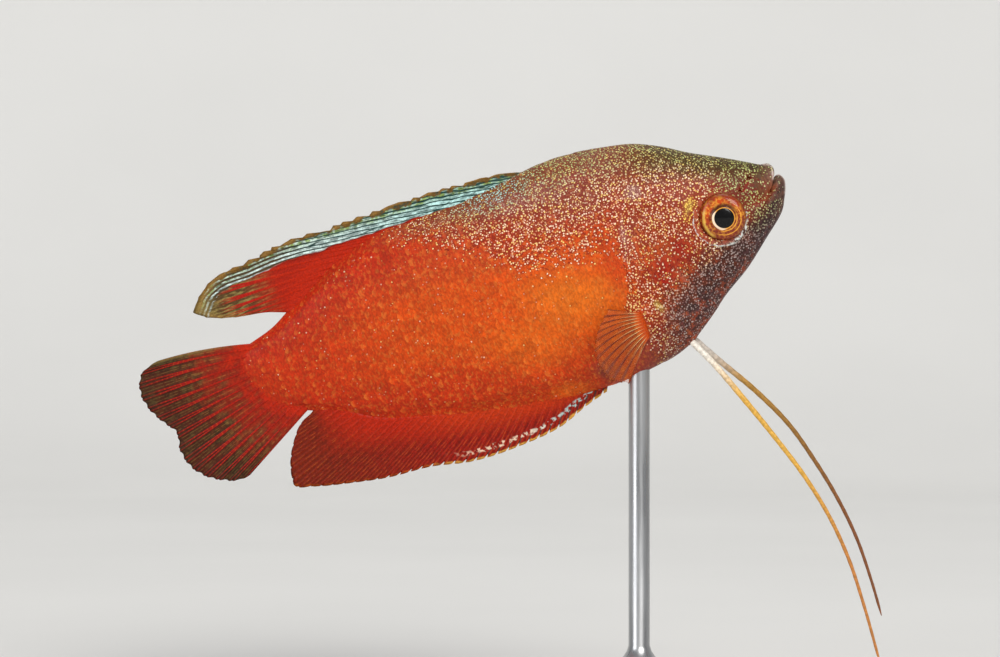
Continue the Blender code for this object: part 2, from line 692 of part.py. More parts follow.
def make_stand(model, fish, base_x):
    """A flat oval base and a rod with a turned foot, whose top fits the belly."""
    top = -BASE_TOP_BELOW_SNOUT
    bm = bmesh.new()
    bmesh.ops.create_cone(
        bm, cap_ends=True, segments=BASE_CORNERS, radius1=1.0, radius2=1.0, depth=1.0
    )
    place = Matrix.Translation((base_x, 0.0, top - BASE_THICK / 2)) @ Matrix.Diagonal(
        (BASE_LENGTH / 2, BASE_WIDTH / 2, BASE_THICK, 1.0)
    )
    bmesh.ops.transform(bm, matrix=place, verts=bm.verts)
    base = new_object("stand_base", mesh_from(bm, "stand_base"), STAND_GREY, 0.4, parent=model)
    bevel = base.modifiers.new("rounded_edges", "BEVEL")
    bevel.width = BASE_BEVEL * MM
    bevel.segments = 2
    bevel.limit_method = "ANGLE"
    bevel.angle_limit = BASE_BEVEL_ANGLE

    rod_x, belly_z = in_model(*ROD_MEETS_BODY)
    foot = top + GAP
    rod_radius = ROD_THICK / 2
    profile = (
        (0.0, belly_z + ROD_INTO_BODY),
        (rod_radius, belly_z + ROD_INTO_BODY),
        (rod_radius, foot + ROD_FOOT_THICK * 2.2),
        (rod_radius * 1.5, foot + ROD_FOOT_THICK * 1.2),
        (ROD_FOOT / 2 - 0.3, foot + ROD_FOOT_THICK * 0.8),
        (ROD_FOOT / 2, foot + ROD_FOOT_THICK * 0.5),
        (ROD_FOOT / 2, foot),
        (0.0, foot),
    )
    bm = bmesh.new()
    verts = [bm.verts.new((r, 0.0, z)) for r, z in profile]
    for a, b in zip(verts, verts[1:]):
        bm.edges.new((a, b))
    bmesh.ops.spin(
        bm, geom=bm.verts[:] + bm.edges[:], axis=(0, 0, 1), cent=(0, 0, 0), angle=2 * math.pi,
        steps=ROD_SIDES, use_merge=True,
    )
    bmesh.ops.remove_doubles(bm, verts=bm.verts, dist=1e-4)
    bmesh.ops.translate(bm, vec=(rod_x, 0.0, 0.0), verts=bm.verts)
    rod = new_object("stand_rod", mesh_from(bm, "stand_rod"), STAND_GREY, 0.3, parent=model)
    near = [flat_ring(SKIN_TO_X - x, CORNERS_AROUND) for x in np.linspace(*ROD_CLEARS_X, 9)]
    bm = loft(points_of(near, grow=GAP), "ruled", "ruled")
    cut(rod, new_cutter("belly_clearance", mesh_from(bm, "belly_clearance"), fish))


def world_box():
    """Lowest and highest corner of the whole model as evaluated."""
    bpy.context.view_layer.update()
    graph = bpy.context.evaluated_depsgraph_get()
    points = []
    for obj in MODEL.objects:
        if obj.type != "MESH":
            continue
        evaluated = obj.evaluated_get(graph)
        points += [evaluated.matrix_world @ v.co for v in evaluated.data.vertices]
    points = np.array(points)
    return points.min(axis=0), points.max(axis=0)


for old in list(bpy.data.objects):
    bpy.data.objects.remove(old)
MODEL = bpy.data.collections.new("dwarf_gourami")
bpy.context.scene.collection.children.link(MODEL)
CUTTERS = bpy.data.collections.new("cutters")
bpy.context.scene.collection.children.link(CUTTERS)


def main():
    model = bpy.data.objects.new("model", None)
    fish = bpy.data.objects.new("fish", None)
    for empty in (model, fish):
        MODEL.objects.link(empty)
    fish.parent = model
    fish.rotation_euler = (0.0, -PITCH, 0.0)
    make_head(fish)
    make_gill_covers(fish)
    make_eyes(fish)
    make_torso(fish)
    make_tail(fish)
    make_dorsal_fin(fish)
    make_anal_fin(fish)
    make_caudal_fin(fish)
    make_pectoral_fins(fish)
    make_feeler("right", FEELER_RIGHT, fish)
    make_feeler("left", FEELER_LEFT, fish)
    low, high = world_box()
    base_x = (low[0] + high[0]) / 2 / MM
    make_stand(model, fish, base_x)
    model.location = (-base_x * MM, 0.0, (BASE_TOP_BELOW_SNOUT + BASE_THICK) * MM)
    bpy.context.view_layer.update()


main()
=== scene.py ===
"""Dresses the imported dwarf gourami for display: skin, scales, eyes, fins, feelers, stand and stage.

Body frame, in millimetres: x is 0 at the snout and runs forward, so the fish lies at negative x.
z runs up towards the back, and y is 0 in the fish's middle plane, positive on its left side.
Each piece is drawn in the body frame and then set into the model's place, in metres.
"""

import math

import bmesh
import bpy
import numpy as np
from mathutils import Matrix, Vector


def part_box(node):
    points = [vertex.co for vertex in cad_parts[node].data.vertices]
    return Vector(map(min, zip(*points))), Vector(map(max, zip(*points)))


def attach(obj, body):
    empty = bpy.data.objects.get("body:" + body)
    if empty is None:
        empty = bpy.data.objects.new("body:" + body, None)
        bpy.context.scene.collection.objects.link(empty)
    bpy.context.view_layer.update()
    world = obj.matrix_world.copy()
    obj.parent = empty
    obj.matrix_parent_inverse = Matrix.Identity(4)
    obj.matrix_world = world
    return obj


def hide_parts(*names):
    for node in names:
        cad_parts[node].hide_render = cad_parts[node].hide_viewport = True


bl_info = {
    "name": "Dwarf gourami",
    "version": (1, 0, 0),
    "blender": (4, 5, 0),
    "location": "3D View > Sidebar > Gourami",
    "description": "Builds the looks of a life-size dwarf gourami on its stand",
    "category": "Add Mesh",
}

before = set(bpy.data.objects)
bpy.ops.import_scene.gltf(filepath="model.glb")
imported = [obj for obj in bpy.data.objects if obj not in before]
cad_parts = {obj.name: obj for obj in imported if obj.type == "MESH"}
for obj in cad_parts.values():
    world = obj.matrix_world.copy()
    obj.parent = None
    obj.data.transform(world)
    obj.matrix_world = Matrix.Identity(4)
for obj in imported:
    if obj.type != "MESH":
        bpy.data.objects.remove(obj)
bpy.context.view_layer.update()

MM = 0.001
PITCH = math.radians(20)
BASE_TOP_BELOW_SNOUT = 53.4
ROD_MEETS_BODY = (-22.0, -13.55)

# Stations of the snout: distance along the skin from the throat, then the points of the ring there
# on the top line (x, z), at the side (x, y, z) and on the bottom line (x, z), then how far the ring
# bulges forward above and below the corner of the mouth.
SNOUT_STATIONS = (
    (0.0, (-2.9, 1.7), (-2.9, 0.35, 1.2), (-2.9, 0.8), 0.0, 0.0),
    (1.6, (-1.35, 2.5), (-2.05, 1.0, 0.45), (-0.85, 1.6), 0.2, 0.0),
    (2.2, (-0.9, 2.5), (-1.8, 1.3, 0.35), (-0.45, 1.85), 0.35, 0.1),
    (2.7, (-0.6, 2.9), (-1.75, 1.5, 0.25), (-0.05, 1.85), 0.35, 0.1),
    (3.3, (-0.85, 3.4), (-2.0, 1.62, 0.05), (0.32, 1.2), 0.3, 0.05),
    (4.1, (-1.65, 3.6), (-2.6, 1.68, -0.1), (0.2, 0.4), 0.2, 0.0),
    (5.4, (-2.7, 4.2), (-3.5, 2.05, -0.1), (-0.3, -0.7), 0.1, 0.0),
    (7.2, (-4.2, 5.1), (-4.6, 2.5, -0.15), (-1.35, -2.35), 0.0, 0.0),
    (8.8, (-6.0, 6.1), (-6.2, 3.0, -0.2), (-3.7, -4.25), 0.0, 0.0),
    (11.1, (-8.5, 7.45), (-8.5, 3.5, -0.3), (-6.7, -6.6), 0.0, 0.0),
    (13.6, (-11.0, 9.04), (-11.0, 3.95, -0.5), (-10.0, -8.6), 0.0, 0.0),
)
SKIN_TO_X = 2.6
SECTION_FULL = 0.9

# Stations of the body: x, height of the back, height of the belly, half-width, level of the widest
# place, and how sharply the section closes above and below (1 is an ellipse, more is keeled).
BODY_STATIONS = (
    (-14.0, 10.5, -11.4, 4.35, -0.8, 0.95, 0.9),
    (-17.0, 11.25, -12.9, 4.6, -1.0, 0.95, 0.88),
    (-20.0, 11.76, -13.4, 4.75, -1.2, 1.0, 0.9),
    (-24.0, 12.0, -13.7, 4.8, -1.3, 1.0, 0.95),
    (-28.0, 11.6, -13.6, 4.7, -1.0, 1.05, 1.1),
    (-34.0, 11.1, -13.1, 4.35, -0.6, 1.1, 1.25),
    (-40.0, 11.1, -12.0, 3.8, -0.2, 1.1, 1.3),
    (-45.0, 11.0, -10.7, 3.2, 0.1, 1.1, 1.3),
    (-50.0, 9.6, -9.1, 2.55, 0.2, 1.1, 1.25),
    (-55.0, 6.85, -6.2, 1.85, 0.1, 1.05, 1.1),
    (-58.0, 5.2, -4.75, 1.4, 0.1, 1.0, 1.0),
    (-61.5, 4.2, -4.3, 0.95, 0.0, 1.0, 1.0),
)

# Where the gill covers end and where the scales end on the tail fin, as (z, x) from top to bottom.
GILL_EDGE = ((12.5, -16.4), (7.0, -17.5), (2.2, -18.7), (-0.4, -19.3), (-3.0, -19.9),
             (-5.6, -20.6), (-7.4, -18.4), (-9.3, -16.6), (-11.3, -14.6), (-13.5, -12.6))
SCALE_EDGE = ((6.0, -60.6), (4.3, -60.7), (2.0, -60.5), (0.0, -59.8), (-2.5, -58.6),
              (-4.6, -57.2), (-6.0, -56.2))

EYE_CENTRE = (-7.74, -0.48)
EYE_TURN = math.radians(8)
ORBIT_CENTRE = (-8.1, -0.57)
ORBIT_RADIUS = 2.95
NOSTRILS = ((-4.8, 1.6), (-3.4, 2.6))

# Furrows of the head as places of the side view, each with its depth and half-width.
FURROWS = (
    (((-1.55, 3.7), (-1.72, 2.9), (-1.75, 1.9), (-1.6, 1.0), (-1.85, 0.3)), 0.13, 0.14),
    (((-0.9, 0.95), (-1.5, 0.45), (-1.95, -0.1), (-2.75, -0.95)), 0.15, 0.14),
    (((-0.45, -0.1), (-1.2, -1.3), (-2.4, -2.6), (-4.5, -4.3), (-7.1, -6.3), (-9.6, -7.8)), 0.12, 0.2),
    (((-2.7, 3.0), (-3.8, 2.2), (-5.0, 1.4)), 0.1, 0.22),
    (((-13.2, 2.2), (-13.9, -0.6), (-13.9, -3.2), (-13.4, -5.4), (-12.0, -7.0), (-10.0, -7.6)), 0.16, 0.24),
    (((-3.3, -1.7), (-4.7, -3.1), (-6.6, -4.3), (-8.8, -4.9)), 0.06, 0.3),
    (((-15.8, -9.7), (-14.0, -9.75), (-12.4, -9.4)), 0.1, 0.16),
    (((-17.0, -9.6), (-15.4, -10.5), (-13.6, -10.5)), 0.07, 0.16),
)
GILL_COVER_HIND_EDGE = ((-15.0, 3.5), (-16.6, 3.2), (-18.4, 2.3), (-19.0, -0.4), (-19.6, -3.0), (-20.25, -5.4),
                        (-18.3, -7.3), (-16.4, -8.9), (-14.0, -9.05), (-12.0, -8.9), (-10.6, -8.5))

DORSAL_FROM_X = -25.8
DORSAL_TO_X = -55.2
DORSAL_MARGIN = ((-26.6, 12.3), (-30.0, 12.6), (-34.0, 13.0), (-41.0, 13.3), (-48.5, 13.4),
                 (-54.5, 13.5), (-59.0, 12.85), (-62.0, 12.55), (-64.6, 11.1), (-65.8, 9.5),
                 (-64.9, 8.75), (-62.0, 7.6), (-58.4, 6.95))
DORSAL_TIP = 10
DORSAL_RAYS = 24
DORSAL_SPINES = 25
DORSAL_SLANT = 0.75
ANAL_FROM_X = -25.2
ANAL_TO_X = -56.4
ANAL_MARGIN = ((-26.0, -14.15), (-28.6, -14.85), (-31.9, -16.0), (-36.9, -16.5), (-42.6, -16.3),
               (-47.0, -15.3), (-51.9, -14.8), (-55.8, -14.0), (-60.0, -12.9), (-61.8, -12.2),
               (-61.7, -10.5), (-60.4, -7.7), (-58.6, -5.75), (-57.3, -5.25))
ANAL_TIP = 10
ANAL_RAYS = 38
CAUDAL_ROOT = (3.95, -4.35)
CAUDAL_MARGIN = ((-72.3, 6.0), (-73.8, 5.1), (-74.5, 3.3), (-74.2, 1.3), (-73.3, -0.5), (-72.2, -2.2),
                 (-72.5, -4.2), (-72.0, -6.3), (-70.7, -7.9), (-68.7, -9.1), (-66.9, -9.8))
CAUDAL_RAYS = 15
CAUDAL_COLUMNS = 24
PECTORAL_ROOT = ((-20.0, -7.1), (-19.7, -8.5), (-19.9, -9.9))
PECTORAL_MARGIN = ((-23.0, -5.6), (-24.2, -6.7), (-25.3, -8.0), (-26.0, -9.8), (-26.0, -11.4),
                   (-25.2, -13.0), (-23.6, -14.0))
PECTORAL_RAYS = 12
PECTORAL_BOW = 0.35
PECTORAL_SPREAD = math.radians(30)
PECTORAL_OFF_SKIN = 0.85
TAIL_SWAY = 1.5

# Centre line of the feeler on the camera's side (right) and of the other, as (x, y, z).
FEELER_RIGHT = ((-15.25, -1.25, -12.45), (-14.0, -1.55, -15.2), (-12.3, -1.9, -19.8), (-10.5, -2.1, -25.0),
                (-8.9, -2.2, -30.2), (-7.9, -2.2, -35.0), (-7.45, -2.1, -40.5), (-7.6, -1.9, -45.5),
                (-8.1, -1.6, -52.4))
FEELER_LEFT = ((-14.75, 1.25, -12.35), (-13.0, 1.9, -15.4), (-10.3, 2.6, -20.0), (-8.1, 3.2, -24.8),
               (-6.9, 3.6, -29.1), (-5.9, 3.8, -34.0), (-5.4, 3.7, -39.0), (-5.5, 3.4, -44.0),
               (-5.8, 3.0, -48.0))


def stand_place():
    """The snout's place in the model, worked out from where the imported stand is."""
    rod_low, rod_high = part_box("stand_rod")
    _, base_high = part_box("stand_base")
    x, z = ROD_MEETS_BODY
    rod_from_snout = x * math.cos(PITCH) - z * math.sin(PITCH)
    rod_x = (rod_low[0] + rod_high[0]) / 2
    return Vector((rod_x - rod_from_snout * MM, 0.0, base_high[2] + BASE_TOP_BELOW_SNOUT * MM))


SNOUT = stand_place()
TO_MODEL = Matrix.Translation(SNOUT) @ Matrix.Rotation(-PITCH, 4, "Y") @ Matrix.Scale(MM, 4)


def screen_colour(red, green, blue):
    """A colour as a screen shows it, from 0 to 255 a channel, made linear."""
    return tuple((channel / 255) ** 2.2 for channel in (red, green, blue))


def colour(name, description, shown):
    return bpy.props.FloatVectorProperty(
        name=name, description=description, default=screen_colour(*shown), min=0.0, max=1.0, subtype="COLOR"
    )


def size(name, description, default):
    return bpy.props.FloatProperty(name=name, description=description, default=default, min=0.0)


class GouramiColours(bpy.types.PropertyGroup):
    """Colours of the fish and its stand."""

    flank: colour("Flank", "Orange-red of the flank's middle", (198, 72, 13))
    upper_flank: colour("Upper flank", "Duller red above the middle", (184, 60, 20))
    lower_flank: colour("Lower flank", "Deep red above the anal fin", (184, 54, 15))
    rose: colour("Rose", "Smooth pink flesh round the eye and along the gill cover", (162, 88, 70))
    back: colour("Back", "Olive of the back in front of the dorsal fin", (108, 94, 60))
    mauve: colour("Mauve", "Dull brown-red of the shoulder", (138, 84, 68))
    amber: colour("Amber", "Yellow-orange behind the pectoral fin", (216, 106, 24))
    tail_red: colour("Tail red", "Red of the tail stalk", (174, 38, 10))
    head: colour("Head", "Orange-brown of the head's side", (172, 72, 32))
    crown: colour("Crown", "Olive-green of the head's top", (104, 82, 34))
    snout: colour("Snout", "Grey-brown round the mouth", (76, 60, 42))
    lips: colour("Lips", "Paler brown of the lips", (106, 78, 64))
    cheek: colour("Cheek", "Dark brown-red below the eye", (86, 44, 38))
    chin: colour("Chin", "Purple-grey of the lower head", (76, 52, 54))
    crimson: colour("Crimson", "Red of the gill cover's middle", (146, 10, 14))
    breast: colour("Breast", "Purple-brown of the breast", (112, 58, 50))
    tan: colour("Tan", "Yellow-brown threads in the flank", (206, 118, 48))
    lip_rim: colour("Lip rim", "Pale edge of the lips", (206, 186, 176))
    gold: colour("Gold", "Yellow behind the eye and by the pectoral fin", (246, 210, 98))
    fleck_white: colour("White flecks", "Pinkish-white glints in the skin", (255, 228, 196))
    fleck_blue: colour("Blue flecks", "Bluish-white line under the eye", (222, 228, 222))
    fleck_grey: colour("Grey flecks", "Dull grey glints of the cheek and chin", (168, 150, 144))
    halo: colour("Seams", "Dark red between the flecks", (116, 28, 16))
    dark_halo: colour("Dark seams", "Dark brown between the flecks of the crown and cheek", (44, 32, 26))
    fleck_green: colour("Green flecks", "Pale green glints of the crown", (178, 190, 112))
    fin_red: colour("Fin red", "Red of the fin rays", (146, 28, 10))
    ray_red: colour("Ray red", "Bright red of the tail fin's rays", (168, 30, 20))
    fin_deep: colour("Fin deep red", "Dark red between the anal fin's rays", (96, 22, 10))
    fin_brown: colour("Fin brown", "Brown between the anal fin's hind rays", (92, 38, 14))
    fin_olive: colour("Fin olive", "Yellow-olive tints of the fins", (140, 122, 70))
    fin_gold: colour("Fin gold", "Fine golden threads between the tail fin's rays", (172, 128, 66))
    fin_web: colour("Fin web", "Dark olive-brown between the rays", (84, 62, 36))
    fin_turquoise: colour("Fin turquoise", "Pale turquoise streaks of the dorsal fin", (176, 222, 218))
    fin_green: colour("Fin green", "Yellow-green in the dorsal fin's upper streaks", (134, 158, 92))
    fin_dark: colour("Fin dark", "Dark green between the turquoise streaks", (34, 66, 62))
    fin_margin: colour("Fin margin", "Golden brown of the dorsal fin's margin", (104, 76, 34))
    pectoral: colour("Pectoral web", "Orange-brown of the pectoral fin's web", (186, 84, 34))
    pectoral_ray: colour("Pectoral rays", "Dark red of the pectoral fin's rays", (88, 22, 10))
    iris: colour("Iris", "Orange-red of the iris", (196, 74, 24))
    iris_dark: colour("Iris dark", "Brown-red of the iris's lower half", (126, 50, 34))
    iris_gold: colour("Iris gold", "Gold flecks of the iris", (238, 164, 60))
    pupil: colour("Pupil", "Black of the pupil", (10, 9, 9))
    feeler_white: colour("Feeler root", "White of the feeler's root", (240, 232, 218))
    feeler_yellow: colour("Feeler yellow", "Yellow-gold of the feeler", (222, 170, 74))
    feeler_brown: colour("Feeler brown", "Orange-brown of the feeler's end", (190, 124, 66))
    stand_white: colour("Stand", "Warm white lacquer of the stand's base", (214, 211, 204))
    rod_steel: colour("Rod", "Brushed steel of the rod", (188, 189, 190))
    floor: colour("Floor", "Pale grey floor", (222, 221, 218))


class GouramiSizes(bpy.types.PropertyGroup):
    """Sizes in millimetres."""

    scale_length: size("Scale spacing along", "Distance from one column of scales to the next", 1.62)
    scale_width: size("Scale spacing across", "Distance from one row of scales to the next", 1.34)
    scale_lift: size("Scale lift", "Height of a scale's hind edge over the skin", 0.032)
    head_scale: size("Head scales", "The head's scales against the body's", 0.72)
    ray_relief: size("Ray relief", "Height of a fin ray over the web", 0.07)
    feeler_thick: size("Feeler", "Thickness of a feeler at its root", 0.72)


class Smooth:
    """A smooth curve through rows of numbers, one row at each knot, read at many knots at once."""

    def __init__(self, knots, rows):
        self.knots = np.asarray(knots, float)
        self.rows = np.asarray(rows, float)
        self.steps = np.diff(self.knots)
        slopes = np.diff(self.rows, axis=0) / self.steps[:, None]
        before = self.steps[:-1, None]
        after = self.steps[1:, None]
        inner = (slopes[:-1] * after + slopes[1:] * before) / (before + after)
        self.tangents = np.vstack([slopes[:1], inner, slopes[-1:]])

    def at(self, knots):
        knots = np.asarray(knots, float)
        i = np.clip(np.searchsorted(self.knots, knots) - 1, 0, len(self.steps) - 1)
        step = self.steps[i][..., None]
        t = (knots - self.knots[i])[..., None] / step
        return (
            (1 + 2 * t) * (1 - t) ** 2 * self.rows[i]
            + t * (1 - t) ** 2 * step * self.tangents[i]
            + t * t * (3 - 2 * t) * self.rows[i + 1]
            + t * t * (t - 1) * step * self.tangents[i + 1]
        )


class Outline(Smooth):
    """A smooth curve through points, read by the share of its length."""

    def __init__(self, points):
        points = np.asarray(points, float)
        lengths = np.linalg.norm(np.diff(points, axis=0), axis=1)
        self.length = lengths.sum()
        super().__init__(np.concatenate([[0.0], np.cumsum(lengths)]), points)

    def share(self, share):
        return self.at(np.asarray(share, float) * self.length)


def smooth_step(value, low, high):
    """0 at low, 1 at high and smooth between."""
    t = np.clip((value - low) / (high - low), 0.0, 1.0)
    return t * t * (3 - 2 * t)


def skin_rows():
    """The stations as rows of top x z, side x y z, bottom x z, the two bulges and exponents."""
    knots = []
    rows = []
    for run, top, side, bottom, bulge_up, bulge_low in SNOUT_STATIONS:
        knots.append(run)
        rows.append((*top, *side, *bottom, bulge_up, bulge_low, SECTION_FULL, SECTION_FULL))
    for x, back, belly, half, level, sharp_up, sharp_low in BODY_STATIONS:
        knots.append(SKIN_TO_X - x)
        rows.append((x, back, x, half, level, x, belly, 0.0, 0.0, sharp_up, sharp_low))
    return Smooth(knots, rows)


def parting(line):
    """A parting line, read by its height from the top down."""
    return Smooth([-z for z, _ in line], [[x] for _, x in line])


SKIN = skin_rows()
GILL_PARTING = parting(GILL_EDGE)
SCALE_PARTING = parting(SCALE_EDGE)


def edge_x(edge, z):
    """x of a parting line at heights."""
    return edge.at(np.clip(-np.asarray(z), edge.knots[0], edge.knots[-1]))[..., 0]


KEEL_PINCH = 0.55


def bare_skin(run, turn):
    """Points of the smooth skin: run is the distance from the throat, turn goes from 0 on the back
    over the left side to pi on the belly and on over the right side."""
    row = np.moveaxis(SKIN.at(run), -1, 0)
    top_x, top_z, side_x, half, side_z, low_x, low_z, bulge_up, bulge_low, sharp_up, sharp_low = row
    c = np.cos(turn)
    s = np.sin(turn)
    above = c >= 0
    x = side_x + (np.where(above, top_x, low_x) - side_x) * abs(c)
    x = x + np.where(above, bulge_up, bulge_low) * abs(np.sin(2 * turn))
    z = side_z + (np.where(above, top_z, low_z) - side_z) * abs(c)
    y = np.sign(s) * abs(s) ** np.where(above, sharp_up, sharp_low) * half
    y = y * (1 - KEEL_PINCH * smooth_step(abs(c), 0.8, 1.0) * smooth_step(run, 26.0, 34.0))
    return np.stack((x, y, z), axis=-1)


def distance_to(x, z, line, pieces=24):
    """Distance of places of the side view to a line, positive on its left."""
    points = Outline(line).share(np.linspace(0.0, 1.0, pieces + 1))
    nearest = np.full(np.shape(x), 1e9)
    for (ax, az), (bx, bz) in zip(points, points[1:]):
        dx, dz = bx - ax, bz - az
        along = np.clip(((x - ax) * dx + (z - az) * dz) / (dx * dx + dz * dz), 0.0, 1.0)
        off = np.hypot(x - ax - dx * along, z - az - dz * along)
        off = np.where(dx * (z - az) - dz * (x - ax) > 0, off, -off)
        nearest = np.where(abs(off) < abs(nearest), off, nearest)
    return nearest


def bump_at(x, z, centre, reach):
    """A soft round hill of height 1 in the side view."""
    return np.exp(-(((x - centre[0]) / reach[0]) ** 2) - ((z - centre[1]) / reach[1]) ** 2)


def relief(points):
    """Height in millimetres of the skin's folds, rims and pits over the smooth skin."""
    x = points[..., 0]
    z = points[..., 2]
    flank = smooth_step(abs(points[..., 1]), 0.4, 1.2)
    height = np.zeros(np.shape(x))
    for line, depth, width in FURROWS:
        height -= depth * np.exp(-((distance_to(x, z, line) / width) ** 2))
    from_orbit = np.hypot(x - ORBIT_CENTRE[0], (z - ORBIT_CENTRE[1]) * 1.02)
    from_eye = np.hypot(x - EYE_CENTRE[0], z - EYE_CENTRE[1])
    height += 0.1 * np.exp(-(((from_orbit - ORBIT_RADIUS) / 0.22) ** 2))
    height -= 0.08 * np.exp(-(((from_orbit - ORBIT_RADIUS - 0.6) / 0.35) ** 2))
    height -= 0.1 * smooth_step(from_eye, 3.0, 2.55) + 1.2 * smooth_step(from_eye, 2.58, 2.42)
    for nostril in NOSTRILS:
        away = np.hypot(x - nostril[0], z - nostril[1])
        height += 0.08 * np.exp(-(((away - 0.32) / 0.12) ** 2)) - 0.35 * smooth_step(away, 0.24, 0.1)
    behind = distance_to(x, z, GILL_COVER_HIND_EDGE)
    cover = smooth_step(-behind, -0.05, 0.12) * smooth_step(-behind, 5.0, 0.3)
    cover = cover * smooth_step(z, 4.4, 3.0) * smooth_step(x, -9.8, -11.8)
    height += 0.26 * cover
    height += 0.5 * bump_at(x, z, (-19.9, -8.6), (0.9, 1.5)) * flank
    height += 0.3 * bump_at(x, z, (-15.2, -12.2), (1.1, 0.9))
    waves = np.sin(0.9 * x + 0.6 * z) + np.sin(1.7 * x - 1.1 * z + 1.0) + np.sin(2.6 * z + 0.7 * x + 2.0)
    height += 0.012 * waves * flank
    return height * np.where(from_eye < 3.3, 1.0, np.maximum(flank, 0.25))


def run_at_edge(edge, turn, shift=0.0):
    """The run at which the skin meets a parting line moved by shift."""
    run = np.full(np.shape(turn), SKIN_TO_X - edge_x(edge, 0.0))
    for _ in range(30):
        point = bare_skin(run, turn)
        run += 0.6 * (point[..., 0] - edge_x(edge, point[..., 2]) - shift)
    return run


NEARBY = 0.02
TAIL_OVERLAP = 3.2


def tail_narrowing(run, turn):
    """1 over the body, and down to 0 where the flesh runs out between the tail fin's faces."""
    turns = np.linspace(0.0, 2 * math.pi, 73)
    end = np.interp(np.mod(turn, 2 * math.pi), turns, run_at_edge(SCALE_PARTING, turns))
    return np.clip(1 - (run - end) / TAIL_OVERLAP, 0.0, 1.0) ** 0.8


def finished_skin(run, turn, lift=0.0):
    """Points of the finished skin, lifted off it along its outward direction."""
    here = bare_skin(run, turn)
    back = bare_skin(run + NEARBY, turn) - bare_skin(run - NEARBY, turn)
    down = bare_skin(run, turn + NEARBY) - bare_skin(run, turn - NEARBY)
    outward = np.cross(down, back)
    outward /= np.maximum(np.linalg.norm(outward, axis=-1, keepdims=True), 1e-9)
    points = here + outward * np.expand_dims(relief(here) + lift, -1)
    points[..., 1] *= tail_narrowing(run, turn)
    return points


def skin_at(x, z):
    """(run, turn) of the left side's skin over a place of the side view."""
    run = SKIN_TO_X - x
    turn = math.pi / 2
    for _ in range(12):
        here = bare_skin(run, turn)
        rise = (bare_skin(run, turn + NEARBY)[2] - here[2]) / NEARBY
        turn += (z - here[2]) / min(rise, -0.5)
        turn = min(max(turn, 0.02), math.pi - 0.02)
        run += here[0] - x
    return run, turn


def skin_y(x, z):
    """Half-width of the fish at a place of the side view."""
    return bare_skin(*skin_at(x, z))[1]


def sway(x):
    """Sideways bend of the tail fin and of the fin lobes beside it."""
    return TAIL_SWAY * (np.maximum(-x - 54.0, 0.0) / 20.0) ** 2


def grid_of(points, numbers):
    """A bmesh grid whose corners are set to an array of points, with named numbers on its corners."""
    rows, columns = points.shape[:2]
    bm = bmesh.new()
    bmesh.ops.create_grid(bm, x_segments=columns - 1, y_segments=rows - 1, size=1.0, calc_uvs=False)
    layers = [(bm.verts.layers.float.new(name), values.ravel()) for name, values in numbers.items()]
    for corner, (v, place) in enumerate(zip(bm.verts, points.reshape(-1, 3))):
        v.co = place
        for layer, values in layers:
            v[layer] = values[corner]
    return bm


def add_piece(bm, name, material, nodes):
    """Sets a bmesh drawn in the body frame into the model as a piece that stands for CAD nodes."""
    bmesh.ops.transform(bm, matrix=TO_MODEL, verts=bm.verts)
    bmesh.ops.recalc_face_normals(bm, faces=bm.faces)
    return add_mesh(bm, name, material, nodes)


def add_mesh(bm, name, material, nodes):
    """Makes a piece of a bmesh that is already in the model's place."""
    mesh = bpy.data.meshes.new(name)
    bm.to_mesh(mesh)
    bm.free()
    mesh.shade_smooth()
    mesh.materials.append(material)
    piece = bpy.data.objects.new(name, mesh)
    bpy.context.scene.collection.objects.link(piece)
    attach(piece, "root")
    if nodes:
        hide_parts(*nodes)
    return piece


